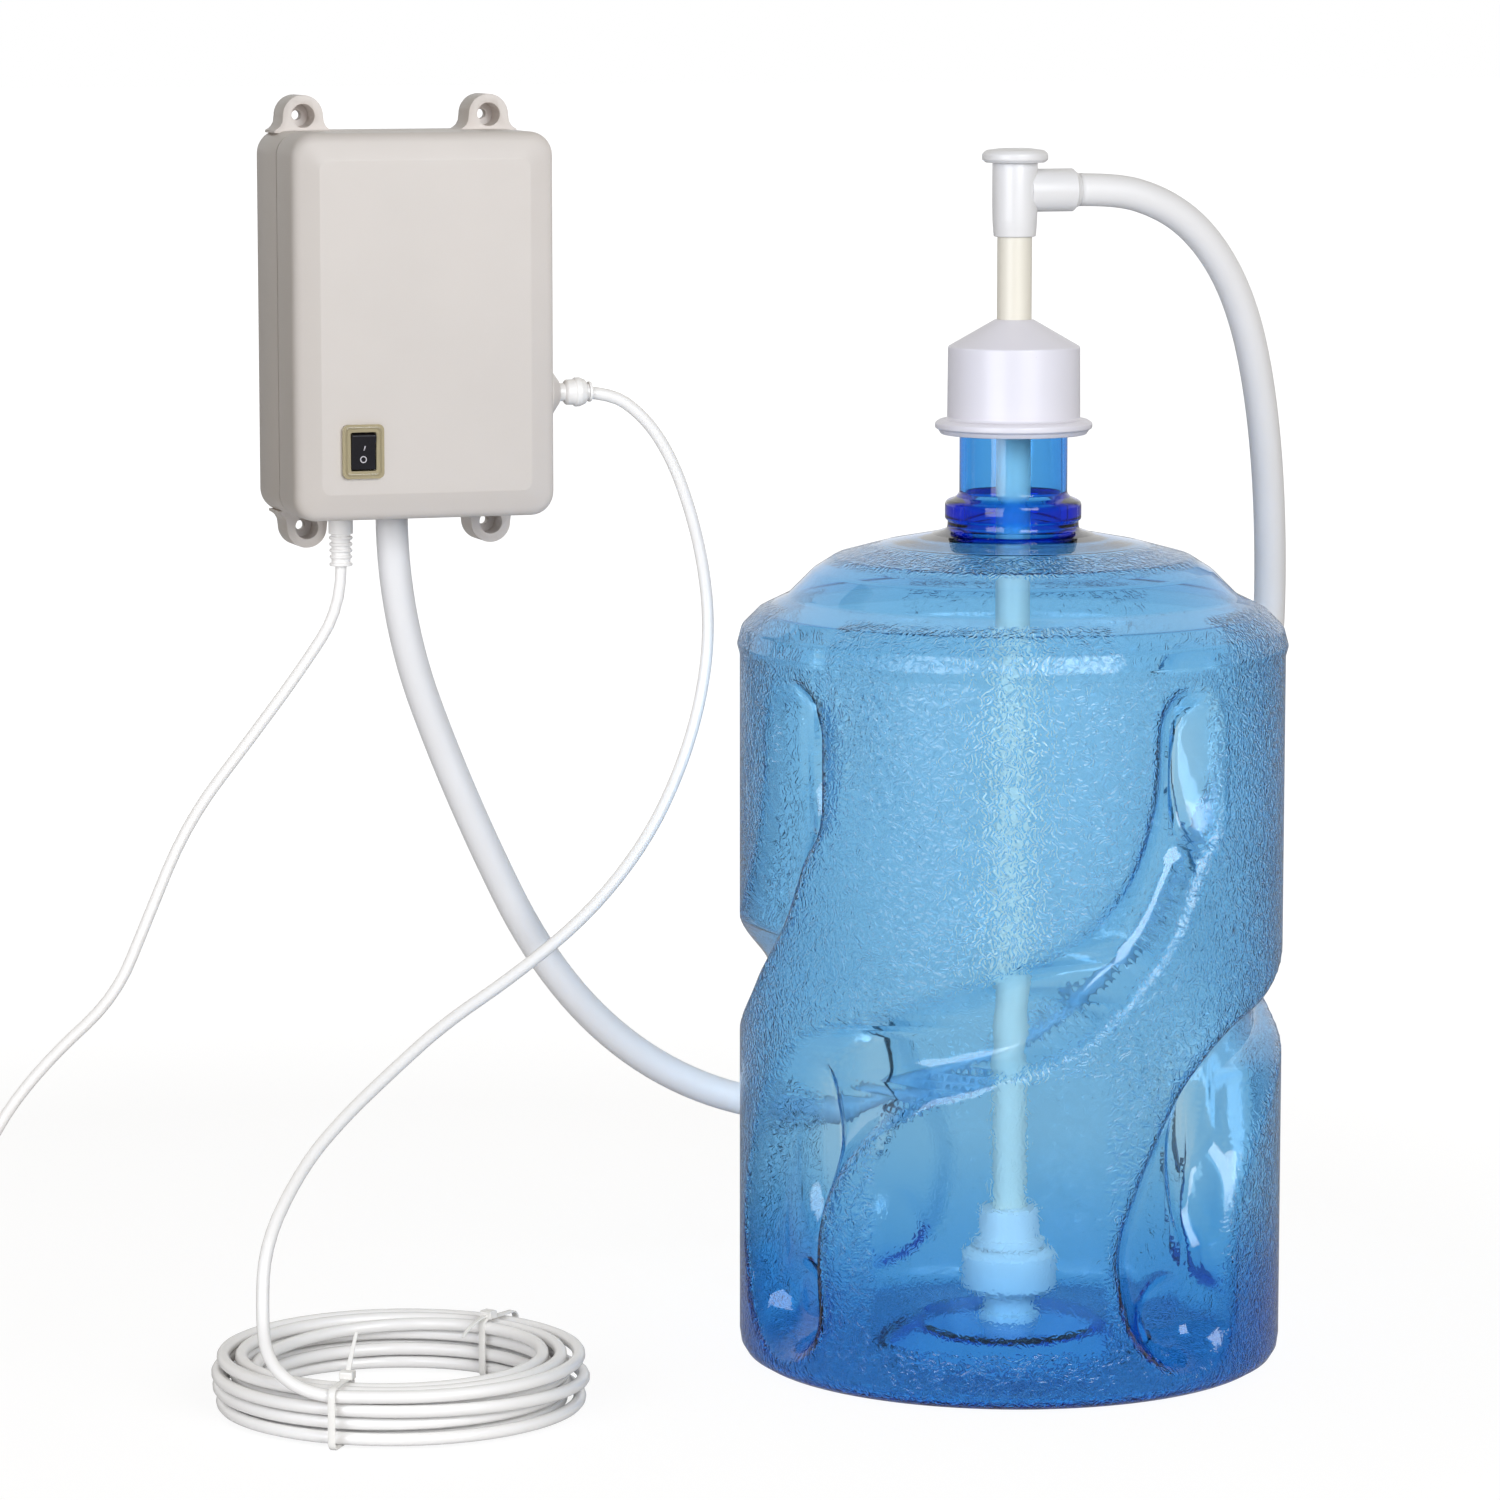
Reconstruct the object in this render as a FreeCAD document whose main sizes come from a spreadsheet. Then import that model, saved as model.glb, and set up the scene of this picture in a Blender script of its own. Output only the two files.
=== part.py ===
import FreeCAD, Part
import math
import os
import Sketcher

# Bottled water pump system: a wall-mounted pump case, a suction wand that stands in a five-gallon
# water bottle, the hoses between them, a coil of outlet tube and a mains lead.
#
# Frame, in millimetres: the wall is the plane y = 0 and the case hangs on its front, towards -Y.
# The origin is the centre of the four wall-screw holes, +X is right as one faces the wall, +Z is up.

# Driving dimensions: alias, millimetres (degrees for tilts), and what each one is.
SIZES = [
    ("case_width", 137, "pump case, left to right"),
    ("case_height", 195, "pump case, bottom to top"),
    ("case_corner", 12, "corner radius of the case seen from the front"),
    ("case_wall", 2.5, "wall of both case shells"),
    ("back_depth", 40, "depth of the back shell from the wall"),
    ("gasket_thickness", 0.8, "seal between the two shells"),
    ("gasket_inset", 0.7, "seal edge behind the outside of the case"),
    ("cover_side", 31.2, "straight side of the front cover"),
    ("bevel_depth", 4, "depth of the bevel round the front face"),
    ("bevel_width", 13.5, "width of the bevel round the front face"),
    ("panel_corner", 5, "corner radius of the flat front panel"),
    ("ear_inset", 19.5, "wall screws, in from the sides of the case"),
    ("ear_reach", 7.5, "wall screws, above and below the case"),
    ("wall_screw_hole", 5, "diameter of the wall-screw holes"),
    ("ear_width", 21, "width of a fixing ear"),
    ("ear_depth", 20, "depth of a fixing ear from the wall"),
    ("ear_flare", 4.5, "how much further each side of an ear stands out where it joins the case"),
    ("ear_floor", 6, "thickness under a screw head in an ear"),
    ("ear_recess", 12, "diameter of the screw-head recess in an ear"),
    ("boss_radius", 4.2, "posts that the cover screws run in"),
    ("boss_inset", 13, "posts from the outside of the case"),
    ("cover_screw_radius", 1.5, "shank radius of the cover screws"),
    ("cover_screw_head", 3.2, "head radius of the cover screws"),
    ("cover_screw_length", 48, "cover screws under the head"),
    ("cover_screw_height", 2.2, "head height of the cover screws"),
    ("screw_recess", 4, "depth of the recesses for the cover screws"),
    ("fit_gap", 0.08, "clearance of pieces that slide or turn in each other"),
    ("pump_side_gap", 25, "pump housing to the inside of the case's right side"),
    ("motor_y", -40, "pump and motor axis, in front of the wall"),
    ("pump_top", 11, "joint of motor and pump above the origin"),
    ("motor_radius", 19, "outside of the motor can"),
    ("motor_length", 50, "length of the motor can"),
    ("motor_wall", 1.5, "wall of the motor can"),
    ("motor_cap", 6, "height of the motor end cap"),
    ("bush_radius", 4, "outside of the motor bushes"),
    ("bush_length", 4, "length of the motor bushes"),
    ("shaft_radius", 1.6, "motor shaft"),
    ("armature_radius", 12.5, "outside of the armature"),
    ("armature_length", 28, "stack of the armature"),
    ("magnet_thickness", 3.4, "field magnets"),
    ("pump_square", 54, "pump housing, side to side"),
    ("pump_corner", 8, "corner radius of the pump housing"),
    ("pump_wall", 4, "wall of the pump housing"),
    ("housing_height", 30, "pump housing"),
    ("diaphragm_thickness", 3, "rubber diaphragm"),
    ("valve_height", 6, "valve plate"),
    ("valve_port", 2.5, "radius of the ports in the valve plate"),
    ("head_height", 16, "pump head"),
    ("pump_screw_radius", 1.6, "shank radius of the pump screws"),
    ("pump_screw_inset", 6, "pump screws from the side of the housing"),
    ("pump_screw_head", 3, "radius and height of the heads of the pump screws"),
    ("pump_screw_bite", 12, "pump screws in the housing"),
    ("hub_radius", 7, "wobble hub on the shaft"),
    ("hub_height", 8.4, "wobble hub on the shaft"),
    ("hub_foot", 4, "wobble hub above the middle of the wobble plate"),
    ("wobble_tilt", 6, "tilt of the wobble journal, degrees"),
    ("journal_radius", 4, "inclined journal of the wobble hub"),
    ("bearing_radius", 7.5, "outside of the wobble bearing"),
    ("bearing_height", 4, "height of the wobble bearing"),
    ("plate_radius", 19, "wobble plate"),
    ("stud_radius", 4, "piston studs under the wobble plate"),
    ("stud_length", 6, "piston studs under the wobble plate"),
    ("stud_circle", 12, "radius of the circle of piston studs"),
    ("foot_radius", 6, "rubber feet behind the pump"),
    ("foot_waist", 1.6, "waist of the rubber feet"),
    ("foot_spacing", 34, "rubber feet, centre to centre"),
    ("bracket_thickness", 2, "steel bracket behind the pump"),
    ("spigot_radius", 3, "hose spigots of the pump head"),
    ("spigot_length", 10, "hose spigots of the pump head"),
    ("inner_hose_radius", 5, "outside of the hoses in the case"),
    ("outlet_y", -56, "outlet fitting in front of the wall"),
    ("outlet_pad_radius", 14, "raised pad round the outlet fitting, at its foot"),
    ("outlet_pad_top", 6.5, "raised pad round the outlet fitting, at its top"),
    ("outlet_pad_height", 6, "raised pad round the outlet fitting"),
    ("fitting_neck_radius", 4.6, "neck of the outlet fitting"),
    ("fitting_neck_length", 3.5, "visible neck of the outlet fitting"),
    ("fitting_body_radius", 6.5, "body of the outlet fitting"),
    ("fitting_body_length", 5.5, "body of the outlet fitting"),
    ("fitting_ridge_radius", 7.5, "front ridge of the outlet fitting"),
    ("fitting_ridge_length", 4, "front ridge of the outlet fitting"),
    ("fitting_nose_radius", 5.6, "front end of the outlet fitting"),
    ("fitting_nose_length", 1.8, "tapered nose of the outlet fitting"),
    ("collet_radius", 4.2, "release collet, inside the fitting"),
    ("collet_flange_radius", 5.2, "release collet, flange in front"),
    ("collet_flange_length", 1.5, "release collet, flange in front"),
    ("collet_travel", 1.5, "how far the release collet pushes in"),
    ("collet_end_gap", 0.2, "room behind the release collet when it is pushed in"),
    ("collet_length", 8, "release collet behind its flange"),
    ("locknut_radius", 8.5, "nut behind the outlet fitting"),
    ("locknut_height", 4.5, "nut behind the outlet fitting"),
    ("tube_diameter", 6.35, "outlet tube, a quarter inch"),
    ("port_y", -27, "suction hose and lead in front of the wall"),
    ("suction_offset", 20, "suction hose, left of the pump axis"),
    ("hose_diameter", 16.6, "suction hose"),
    ("gland_radius", 9.2, "suction gland in the bottom of the case"),
    ("gland_flange_radius", 12, "flange of the suction gland, inside"),
    ("gland_height", 3, "flange of the suction gland, inside"),
    ("gland_spigot_length", 10, "spigot of the suction gland, inside"),
    ("port_spacing", 27, "strain relief beside the suction port, centre to centre"),
    ("lead_diameter", 6, "mains lead"),
    ("relief_radius", 6.3, "strain relief at the case"),
    ("relief_tip_radius", 5.9, "strain relief at its tip"),
    ("relief_length", 27, "strain relief under the case"),
    ("relief_waist", 1.2, "step of the strain relief where it passes through the case wall"),
    ("relief_lip", 1.5, "lip of the strain relief inside the case"),
    ("relief_collar", 10.4, "plain upper part of the strain relief, under the case"),
    ("relief_ribs", 5, "ribs of the strain relief"),
    ("relief_groove", 1.1, "depth of the grooves between the ribs"),
    ("switch_inset_x", 34.5, "rocker switch, from the left side of the case"),
    ("switch_inset_z", 35.5, "rocker switch, from the bottom of the case"),
    ("bezel_width", 21.5, "rocker switch frame"),
    ("bezel_height", 27.4, "rocker switch frame"),
    ("bezel_thickness", 2.2, "rocker switch frame"),
    ("switch_width", 16.4, "rocker switch housing"),
    ("switch_height", 22.4, "rocker switch housing"),
    ("switch_depth", 16, "rocker switch housing behind the face"),
    ("rocker_width", 12.6, "rocker"),
    ("rocker_radius", 9.4, "rocker, from its pivot to its ends"),
    ("rocker_tilt", 7, "tilt of each half of the rocker's face, degrees"),
    ("rocker_pin", 1.2, "radius of the rocker's pins"),
    ("rocker_valley", 2.6, "middle of the rocker's face in front of its pivot"),
    ("rocker_back", 4, "back of the rocker behind its pivot"),
    ("rocker_gap", 0.4, "gap round the rocker in its frame"),
    ("tab_width", 4.8, "terminals of the rocker switch"),
    ("tab_length", 7, "terminals of the rocker switch"),
    ("tab_thickness", 0.8, "terminals of the rocker switch"),
    ("board_height", 88, "power board"),
    ("board_thickness", 1.6, "power board"),
    ("board_inset", 4, "power board to the inside of the case's left side"),
    ("board_side_gap", 5, "power board to the pump"),
    ("board_drop", 35, "power board under the inside of the case's top"),
    ("board_gap", 6, "posts under the power board"),
    ("transformer_width", 28, "transformer core"),
    ("transformer_depth", 22, "transformer core"),
    ("transformer_height", 24, "transformer core"),
    ("capacitor_radius", 6, "capacitors on the power board"),
    ("capacitor_height", 18, "capacitors on the power board"),
    ("pressure_offset", 12, "pressure switch, right of the pump axis"),
    ("pressure_radius", 8, "pressure switch"),
    ("pressure_length", 20, "pressure switch"),
    ("pressure_wall", 1.5, "wall of the pressure switch"),
    ("plunger_radius", 2.4, "plunger of the pressure switch"),
    ("plunger_travel", 1, "travel of the pressure-switch plunger"),
    ("floor_drop", 525, "floor below the origin"),
    ("bottle_x", 277, "bottle axis, right of the origin"),
    ("bottle_y", -180, "bottle axis, in front of the wall"),
    ("bottle_radius", 138, "bottle, outside"),
    ("bottle_wall", 2, "wall of the bottle"),
    ("bottle_heel", 28, "rounding between the side and the base"),
    ("grip_depth", 14, "hand grips, pressed into the side of the bottle"),
    ("grip_round", 29, "rounding across a grip"),
    ("grip_start", 16, "lower end of a grip above the base"),
    ("grip_end", 352, "upper end of a grip above the base"),
    ("grip_pocket_depth", 17, "wide lower part of a grip"),
    ("grip_pocket_round", 48, "rounding across the lower part of a grip"),
    ("grip_pocket_top", 142, "upper end of the lower part of a grip, above the base"),
    ("grip_pocket_foot", 12, "height in which the lower part of a grip reaches its depth"),
    ("grip_pocket_fade", 44, "height in which the lower part of a grip fades out at its top"),
    ("shoulder_height", 363, "lower edge of the shoulder band"),
    ("shoulder_bulge", 1.5, "shoulder band beyond the side of the bottle"),
    ("punt_radius", 60, "pushed-up middle of the base"),
    ("punt_height", 12, "pushed-up middle of the base"),
    ("neck_radius", 27.2, "neck of the bottle"),
    ("neck_rise", 78, "foot of the neck above the shoulder band"),
    ("neck_length", 59, "neck of the bottle, foot to mouth"),
    ("neck_ring_radius", 34.4, "stepped ring round the foot of the neck"),
    ("neck_ring_height", 15, "stepped ring round the foot of the neck"),
    ("cap_radius", 33.5, "bottle cap"),
    ("cap_height", 58, "bottle cap, rim to cone tip"),
    ("cap_cone", 13.5, "height of the cone on the cap"),
    ("cap_ledge", 30, "ledge inside the cap above its rim"),
    ("cap_rim_radius", 39.6, "rolled rim of the cap"),
    ("cap_rim_height", 8, "rolled rim of the cap"),
    ("cap_wall", 2.4, "wall of the cap"),
    ("cap_seal_thickness", 2, "seal between the cap and the bottle mouth"),
    ("wand_radius", 8.75, "suction tube"),
    ("wand_bore", 6.5, "bore radius of the suction tube"),
    ("foot_flange_radius", 15.6, "strainer flange, on the bottle's floor"),
    ("foot_flange_height", 5, "strainer flange"),
    ("strainer_radius", 13.1, "strainer body"),
    ("strainer_height", 10.7, "strainer body above its flange"),
    ("strainer_bore", 8, "bore radius of the strainer"),
    ("chamber_radius", 24.4, "float chamber"),
    ("chamber_height", 23.6, "float chamber"),
    ("chamber_wall", 1.6, "wall of the float chamber"),
    ("foot_ring_radius", 18, "ring on the float chamber"),
    ("foot_ring_height", 5.2, "ring on the float chamber"),
    ("sleeve_radius", 15.4, "sleeve that holds the suction tube"),
    ("sleeve_height", 17, "sleeve that holds the suction tube"),
    ("socket_depth", 13, "suction tube inside the sleeve"),
    ("float_radius", 21.5, "float, outside"),
    ("float_height", 10.5, "float"),
    ("stem_radius", 10, "stem inside the float"),
    ("stem_bore", 7, "bore radius of the stem"),
    ("ball_radius", 4.5, "check-valve ball"),
    ("seat_radius", 3.2, "hole under the check-valve ball"),
    ("tee_rise", 71, "lower end of the tee head above the mouth of the bottle"),
    ("tee_radius", 11.4, "tee head"),
    ("tee_height", 37, "tee head"),
    ("tee_socket", 12, "suction tube inside the tee head"),
    ("arm_radius", 10.8, "side arm of the tee head"),
    ("arm_bore", 5, "bore radius of the side arm"),
    ("arm_reach", 33.5, "side arm, from the wand axis to its end"),
    ("arm_centre", 23, "side arm above the lower end of the tee head"),
    ("arm_chamfer", 2.5, "chamfer at the end of the side arm"),
    ("plug_radius", 16.6, "round top of the tee head"),
    ("plug_height", 7.3, "round top of the tee head"),
    ("plug_stem_radius", 6, "stem of the round top"),
    ("coil_x", -52, "middle of the tube coil"),
    ("coil_y", -195, "middle of the tube coil"),
    ("coil_outer", 91, "outermost turn of the tube coil, centre line"),
    ("coil_pitch", 7.6, "tube coil, from turn to turn"),
    ("coil_layer", 7.2, "tube coil, from layer to layer"),
    ("coil_bulge", 2.5, "how far the tube coil swells between its ties"),
    ("tie_thickness", 1.2, "band of the ties"),
    ("tie_width", 3.6, "band of the ties"),
    ("tie_inner_slack", 0.4, "room between a tie and the innermost strand"),
    ("tie_outer_slack", 1.6, "room between a tie and the outermost strand, where the free run leaves"),
    ("tie_top_slack", 0.6, "room between a tie and the top strands"),
    ("tie_head_in", 2, "head of a tie, from the inner side of its band"),
    ("tie_tail", 24, "tail of a tie beyond its head"),
    ("lead_coil_x", -350, "middle of the lead's coil"),
    ("lead_coil_y", -110, "middle of the lead's coil"),
    ("lead_coil_outer", 42, "outermost turn of the lead's coil, centre line"),
    ("lead_coil_pitch", 6.9, "lead's coil, from turn to turn"),
    ("lead_coil_layer", 6.8, "lead's coil, from layer to layer"),
    ("lead_tail", 30, "straight end of the lead between its coil and the plug"),
    ("plug_length", 38, "mains plug"),
    ("plug_width", 24, "mains plug"),
    ("plug_thickness", 13, "mains plug"),
    ("plug_neck", 14, "tapered neck of the mains plug"),
    ("blade_length", 17, "blades of the mains plug"),
    ("blade_width", 6.3, "blades of the mains plug"),
    ("blade_thickness", 1.5, "blades of the mains plug"),
    ("blade_spacing", 12.7, "blades of the mains plug, centre to centre"),
]

# How far a cutting tool runs past the face that it opens.
OVERRUN = 1

# Counts and angles that shape a piece but aren't lengths.
COIL_TURNS_PER_LAYER = 2.625
COIL_LAYERS = 4
COIL_START_ANGLE = -115
COIL_FAN = 0.22
LEAD_TURNS_PER_LAYER = 2.5
LEAD_LAYERS = 2
LEAD_START_ANGLE = 90
TIE_TAIL_RISE = 52
TIE_ANGLES = {"tube_tie_front": -124, "tube_tie_back": 36, "cord_tie": 0}

# Free routes, chosen by hand: each hangs or lies as a hose, tube or lead of its stiffness does.
SUCTION_ROUTE = [
    (-6, -27, -97.5), (-6, -27, -150), (29, -27, -246), (80, -26, -350), (154, -23, -411),
    (248, -22, -430), (338, -22, -404), (404, -24, -352), (440, -38, -300), (456, -58, -243),
    (459, -84, -186), (449, -110, -128), (436, -133, -69), (421, -151, -20), (406, -163, 13),
    (389.5, -171, 36.5), (372, -176, 53), (352.5, -179, 63.5), (331.5, -180, 69), (310.5, -180, 69),
]
OUTLET_ROUTE = [
    (80, -56, -36), (102, -56, -36), (120, -56.4, -48.6), (133, -57, -66.5), (143.5, -58, -92),
    (152, -59.5, -126), (154.5, -62, -161), (149, -65, -196), (136, -71, -231), (113, -83, -267),
    (77, -98, -301), (32, -114, -328), (-8, -129, -347), (-39, -145, -366), (-70, -164, -385),
    (-96, -184, -404), (-123.2, -214.2, -434.5), (-127.5, -225.4, -469.8), (-129.5, -242.7, -484.7),
    (-122.2, -257.5, -494.5), (-108.8, -268.9, -498.9), (-96.2, -274.8, -498.9),
]
LEAD_ROUTE = [
    (-33, -27, -124.5), (-33, -27, -146), (-55, -29, -177), (-83, -33, -211), (-118, -38, -252),
    (-142, -46, -302), (-160, -54, -338), (-196, -60, -366), (-224, -63, -398), (-243, -65, -440),
    (-262, -67, -479), (-288, -68, -507), (-318, -67, -513.9), (-344, -68, -513.9),
]

FILE_NODES = []


class Size:
    """A number together with the sheet formula that gives it."""

    def __init__(self, value, text):
        self.value = value
        self.text = text

    def __add__(self, other):
        return Size(self.value + number(other), f"({self.text} + {formula(other)})")

    def __radd__(self, other):
        return Size(number(other) + self.value, f"({formula(other)} + {self.text})")

    def __sub__(self, other):
        return Size(self.value - number(other), f"({self.text} - {formula(other)})")

    def __rsub__(self, other):
        return Size(number(other) - self.value, f"({formula(other)} - {self.text})")

    def __mul__(self, other):
        return Size(self.value * number(other), f"({self.text} * {formula(other)})")

    def __rmul__(self, other):
        return Size(number(other) * self.value, f"({formula(other)} * {self.text})")

    def __truediv__(self, other):
        return Size(self.value / number(other), f"({self.text} / {formula(other)})")

    def __neg__(self):
        return Size(-self.value, f"(0 - {self.text})")


def number(size):
    return size.value if isinstance(size, Size) else float(size)


def formula(size):
    return size.text if isinstance(size, Size) else repr(float(size))


def vector(x, y, z):
    return FreeCAD.Vector(number(x), number(y), number(z))


class Sheet:
    """Named sizes: each alias of the spreadsheet is an attribute that holds its Size."""


doc = FreeCAD.newDocument("bottled_water_pump")


def make_sheet():
    table = doc.addObject("Spreadsheet::Sheet", "Sizes")
    for row, (alias, value, meaning) in enumerate(SIZES, start=1):
        table.set(f"A{row}", alias)
        table.set(f"B{row}", str(value))
        table.setAlias(f"B{row}", alias)
        table.set(f"C{row}", meaning)
    doc.recompute()
    sizes = Sheet()
    for alias, _, _ in SIZES:
        setattr(sizes, alias, Size(float(table.get(alias)), f"Sizes.{alias}"))
    return sizes


s = make_sheet()

# Rotations that lay a piece's own Z axis along another axis.
TURNS = {
    "z": FreeCAD.Rotation(),
    "-z": FreeCAD.Rotation(FreeCAD.Vector(1, 0, 0), 180),
    "x": FreeCAD.Rotation(FreeCAD.Vector(0, 1, 0), 90),
    "-x": FreeCAD.Rotation(FreeCAD.Vector(0, 1, 0), -90),
    "y": FreeCAD.Rotation(FreeCAD.Vector(1, 0, 0), -90),
    "-y": FreeCAD.Rotation(FreeCAD.Vector(1, 0, 0), 90),
}


def put(piece, at, turn="z"):
    """Place a piece: its turn is fixed and its position is bound to the sheet."""
    rotation = TURNS[turn] if isinstance(turn, str) else turn
    piece.Placement = FreeCAD.Placement(FreeCAD.Vector(), rotation)
    for axis, size in zip("xyz", at):
        piece.setExpression(f".Placement.Base.{axis}", formula(size))
    return piece


def bind(piece, **sizes):
    for prop, size in sizes.items():
        piece.setExpression(prop, formula(size))
    return piece


def block(name, low, length, width, height):
    """A box from its lowest corner."""
    piece = doc.addObject("Part::Box", name)
    bind(piece, Length=length, Width=width, Height=height)
    return put(piece, low)


def rod(name, radius, height, at, turn="z"):
    """A cylinder from the middle of its first end."""
    piece = doc.addObject("Part::Cylinder", name)
    bind(piece, Radius=radius, Height=height)
    return put(piece, at, turn)


def fuse(name, *pieces):
    piece = doc.addObject("Part::MultiFuse", name)
    piece.Shapes = list(pieces)
    piece.Refine = True
    return piece


def cut(name, base, *tools):
    piece = doc.addObject("Part::Cut", name)
    piece.Base = base
    piece.Tool = tools[0] if len(tools) == 1 else fuse(name + "_openings", *tools)
    piece.Refine = True
    return piece


def group(name, *pieces):
    """Identical pieces that share one node as separate solids."""
    piece = doc.addObject("Part::Compound", name)
    piece.Links = list(pieces)
    return piece


def node(piece, label):
    """Name a finished sub-part: the label names its file."""
    piece.Label = label
    FILE_NODES.append(piece)
    return piece


def origin_plane(body, role):
    return [feature for feature in body.Origin.OriginFeatures if feature.Role == role][0]


def sketch_on(body, name, role, offset=0):
    sketch = body.newObject("Sketcher::SketchObject", name)
    sketch.AttachmentSupport = [(origin_plane(body, role), "")]
    sketch.MapMode = "FlatFace"
    sketch.setExpression(".AttachmentOffset.Base.z", formula(offset))
    return sketch


def pin_point(sketch, geometry, end, x, y):
    """Hold a sketch point at a place that the sheet gives."""
    for kind, size in (("DistanceX", x), ("DistanceY", y)):
        row = sketch.addConstraint(Sketcher.Constraint(kind, -1, 1, geometry, end, number(size)))
        sketch.setExpression(f"Constraints[{row}]", formula(size))


def draw_polygon(sketch, corners):
    """A closed outline of straight lines through the corners."""
    count = len(corners)
    for index in range(count):
        here, following = corners[index], corners[(index + 1) % count]
        start = vector(here[0], here[1], 0)
        end = vector(following[0], following[1], 0)
        sketch.addGeometry(Part.LineSegment(start, end), False)
    for index in range(count):
        sketch.addConstraint(Sketcher.Constraint("Coincident", index, 2, (index + 1) % count, 1))
    for index, corner in enumerate(corners):
        pin_point(sketch, index, 1, corner[0], corner[1])


def draw_rounded_rectangle(sketch, width, height, radius, centre=(0, 0)):
    """Four lines and four corner arcs about a centre."""
    half_w = width / 2
    half_h = height / 2
    ends = []
    for sx, sy, start_angle in ((1, 1, 0), (-1, 1, 90), (-1, -1, 180), (1, -1, 270)):
        corner_x = centre[0] + sx * half_w
        corner_y = centre[1] + sy * half_h
        inner_x = centre[0] + sx * (half_w - radius)
        inner_y = centre[1] + sy * (half_h - radius)
        if sx * sy > 0:
            ends.append(((corner_x, inner_y), (inner_x, corner_y), (inner_x, inner_y), start_angle))
        else:
            ends.append(((inner_x, corner_y), (corner_x, inner_y), (inner_x, inner_y), start_angle))
    for index, (_, finish, _, _) in enumerate(ends):
        following = ends[(index + 1) % 4][0]
        sketch.addGeometry(Part.LineSegment(vector(*finish, 0), vector(*following, 0)), False)
    for _, _, middle, start_angle in ends:
        circle = Part.Circle(vector(*middle, 0), FreeCAD.Vector(0, 0, 1), number(radius))
        first = math.radians(start_angle)
        arc = Part.ArcOfCircle(circle, first, first + math.pi / 2)
        sketch.addGeometry(arc, False)
    for index, (start, finish, _, _) in enumerate(ends):
        arc = 4 + index
        sketch.addConstraint(Sketcher.Constraint("Coincident", arc, 2, index, 1))
        sketch.addConstraint(Sketcher.Constraint("Coincident", arc, 1, (index - 1) % 4, 2))
        pin_point(sketch, arc, 1, *start)
        pin_point(sketch, arc, 2, *finish)
        row = sketch.addConstraint(Sketcher.Constraint("Radius", arc, number(radius)))
        sketch.setExpression(f"Constraints[{row}]", formula(radius))


def round_corners(body, name, base, corners):
    """Fillet the circular edges that pass through the outline's marked corners."""
    by_radius = {}
    for corner in corners:
        if len(corner) < 3:
            continue
        for index, edge in enumerate(base.Shape.Edges, start=1):
            curve = edge.Curve
            if not isinstance(curve, Part.Circle):
                continue
            same_radius = abs(curve.Radius - number(corner[0])) < 1e-4
            same_level = abs(curve.Center.z - number(corner[1])) < 1e-4
            if same_radius and same_level:
                key = formula(corner[2])
                by_radius.setdefault(key, (corner[2], set()))[1].add(f"Edge{index}")
    if not by_radius:
        return base
    for count, (radius, edges) in enumerate(by_radius.values(), start=1):
        if count > 1:
            raise ValueError(f"{name}: one rounding size for each turned piece")
        fillet = body.newObject("PartDesign::Fillet", name)
        fillet.Base = (base, sorted(edges))
        fillet.setExpression("Radius", formula(radius))
        doc.recompute()
    return fillet


def turned(name, corners, at, turn="z"):
    """A piece turned about its own Z axis. Corners are (radius, height), with a rounding if any."""
    body = doc.addObject("PartDesign::Body", name)
    sketch = sketch_on(body, name + "_outline", "XZ_Plane")
    draw_polygon(sketch, corners)
    spin = body.newObject("PartDesign::Revolution", name + "_spin")
    spin.Profile = sketch
    spin.ReferenceAxis = (sketch, ["V_Axis"])
    spin.Angle = 360
    doc.recompute()
    round_corners(body, name + "_rounding", spin, corners)
    return put(body, at, turn)


def slab(name, width, height, radius, thickness, at, turn="z", opening=None):
    """A rounded rectangle pad. An opening is the width, height and corner radius of a hole in it."""
    body = doc.addObject("PartDesign::Body", name)
    sketch = sketch_on(body, name + "_outline", "XY_Plane")
    draw_rounded_rectangle(sketch, width, height, radius)
    pad = body.newObject("PartDesign::Pad", name + "_pad")
    pad.Profile = sketch
    bind(pad, Length=thickness)
    if opening:
        hole = sketch_on(body, name + "_hole", "XY_Plane")
        draw_rounded_rectangle(hole, *opening)
        pocket = body.newObject("PartDesign::Pocket", name + "_pocket")
        pocket.Profile = hole
        pocket.Type = 1
        pocket.Reversed = True
    return put(body, at, turn)


# The pump case: the back shell with its ears, the seal, the front cover and their screws.

front = -(s.back_depth + s.gasket_thickness + s.cover_side + s.bevel_depth)
half_width = s.case_width / 2
half_height = s.case_height / 2
inner_width = s.case_width - 2 * s.case_wall
inner_height = s.case_height - 2 * s.case_wall
inner_corner = s.case_corner - s.case_wall
boss_x = half_width - s.boss_inset
boss_z = half_height - s.boss_inset
ear_x = half_width - s.ear_inset
ear_z = half_height + s.ear_reach
floor = -s.floor_drop

# Places of what shows on the case, from its sides, and of the pump that they line up with.
motor_x = half_width - s.case_wall - s.pump_side_gap - s.pump_square / 2
suction_x = motor_x - s.suction_offset
lead_x = suction_x - s.port_spacing
switch_x = s.switch_inset_x - half_width
switch_z = s.switch_inset_z - half_height
housing_bottom = s.pump_top - s.housing_height
diaphragm_bottom = housing_bottom - s.diaphragm_thickness
valve_bottom = diaphragm_bottom - s.valve_height
head_bottom = valve_bottom - s.head_height
outlet_z = head_bottom + s.head_height / 2


def corners_of(x, z):
    return [(sx * x, sz * z) for sx in (1, -1) for sz in (1, -1)]


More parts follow.
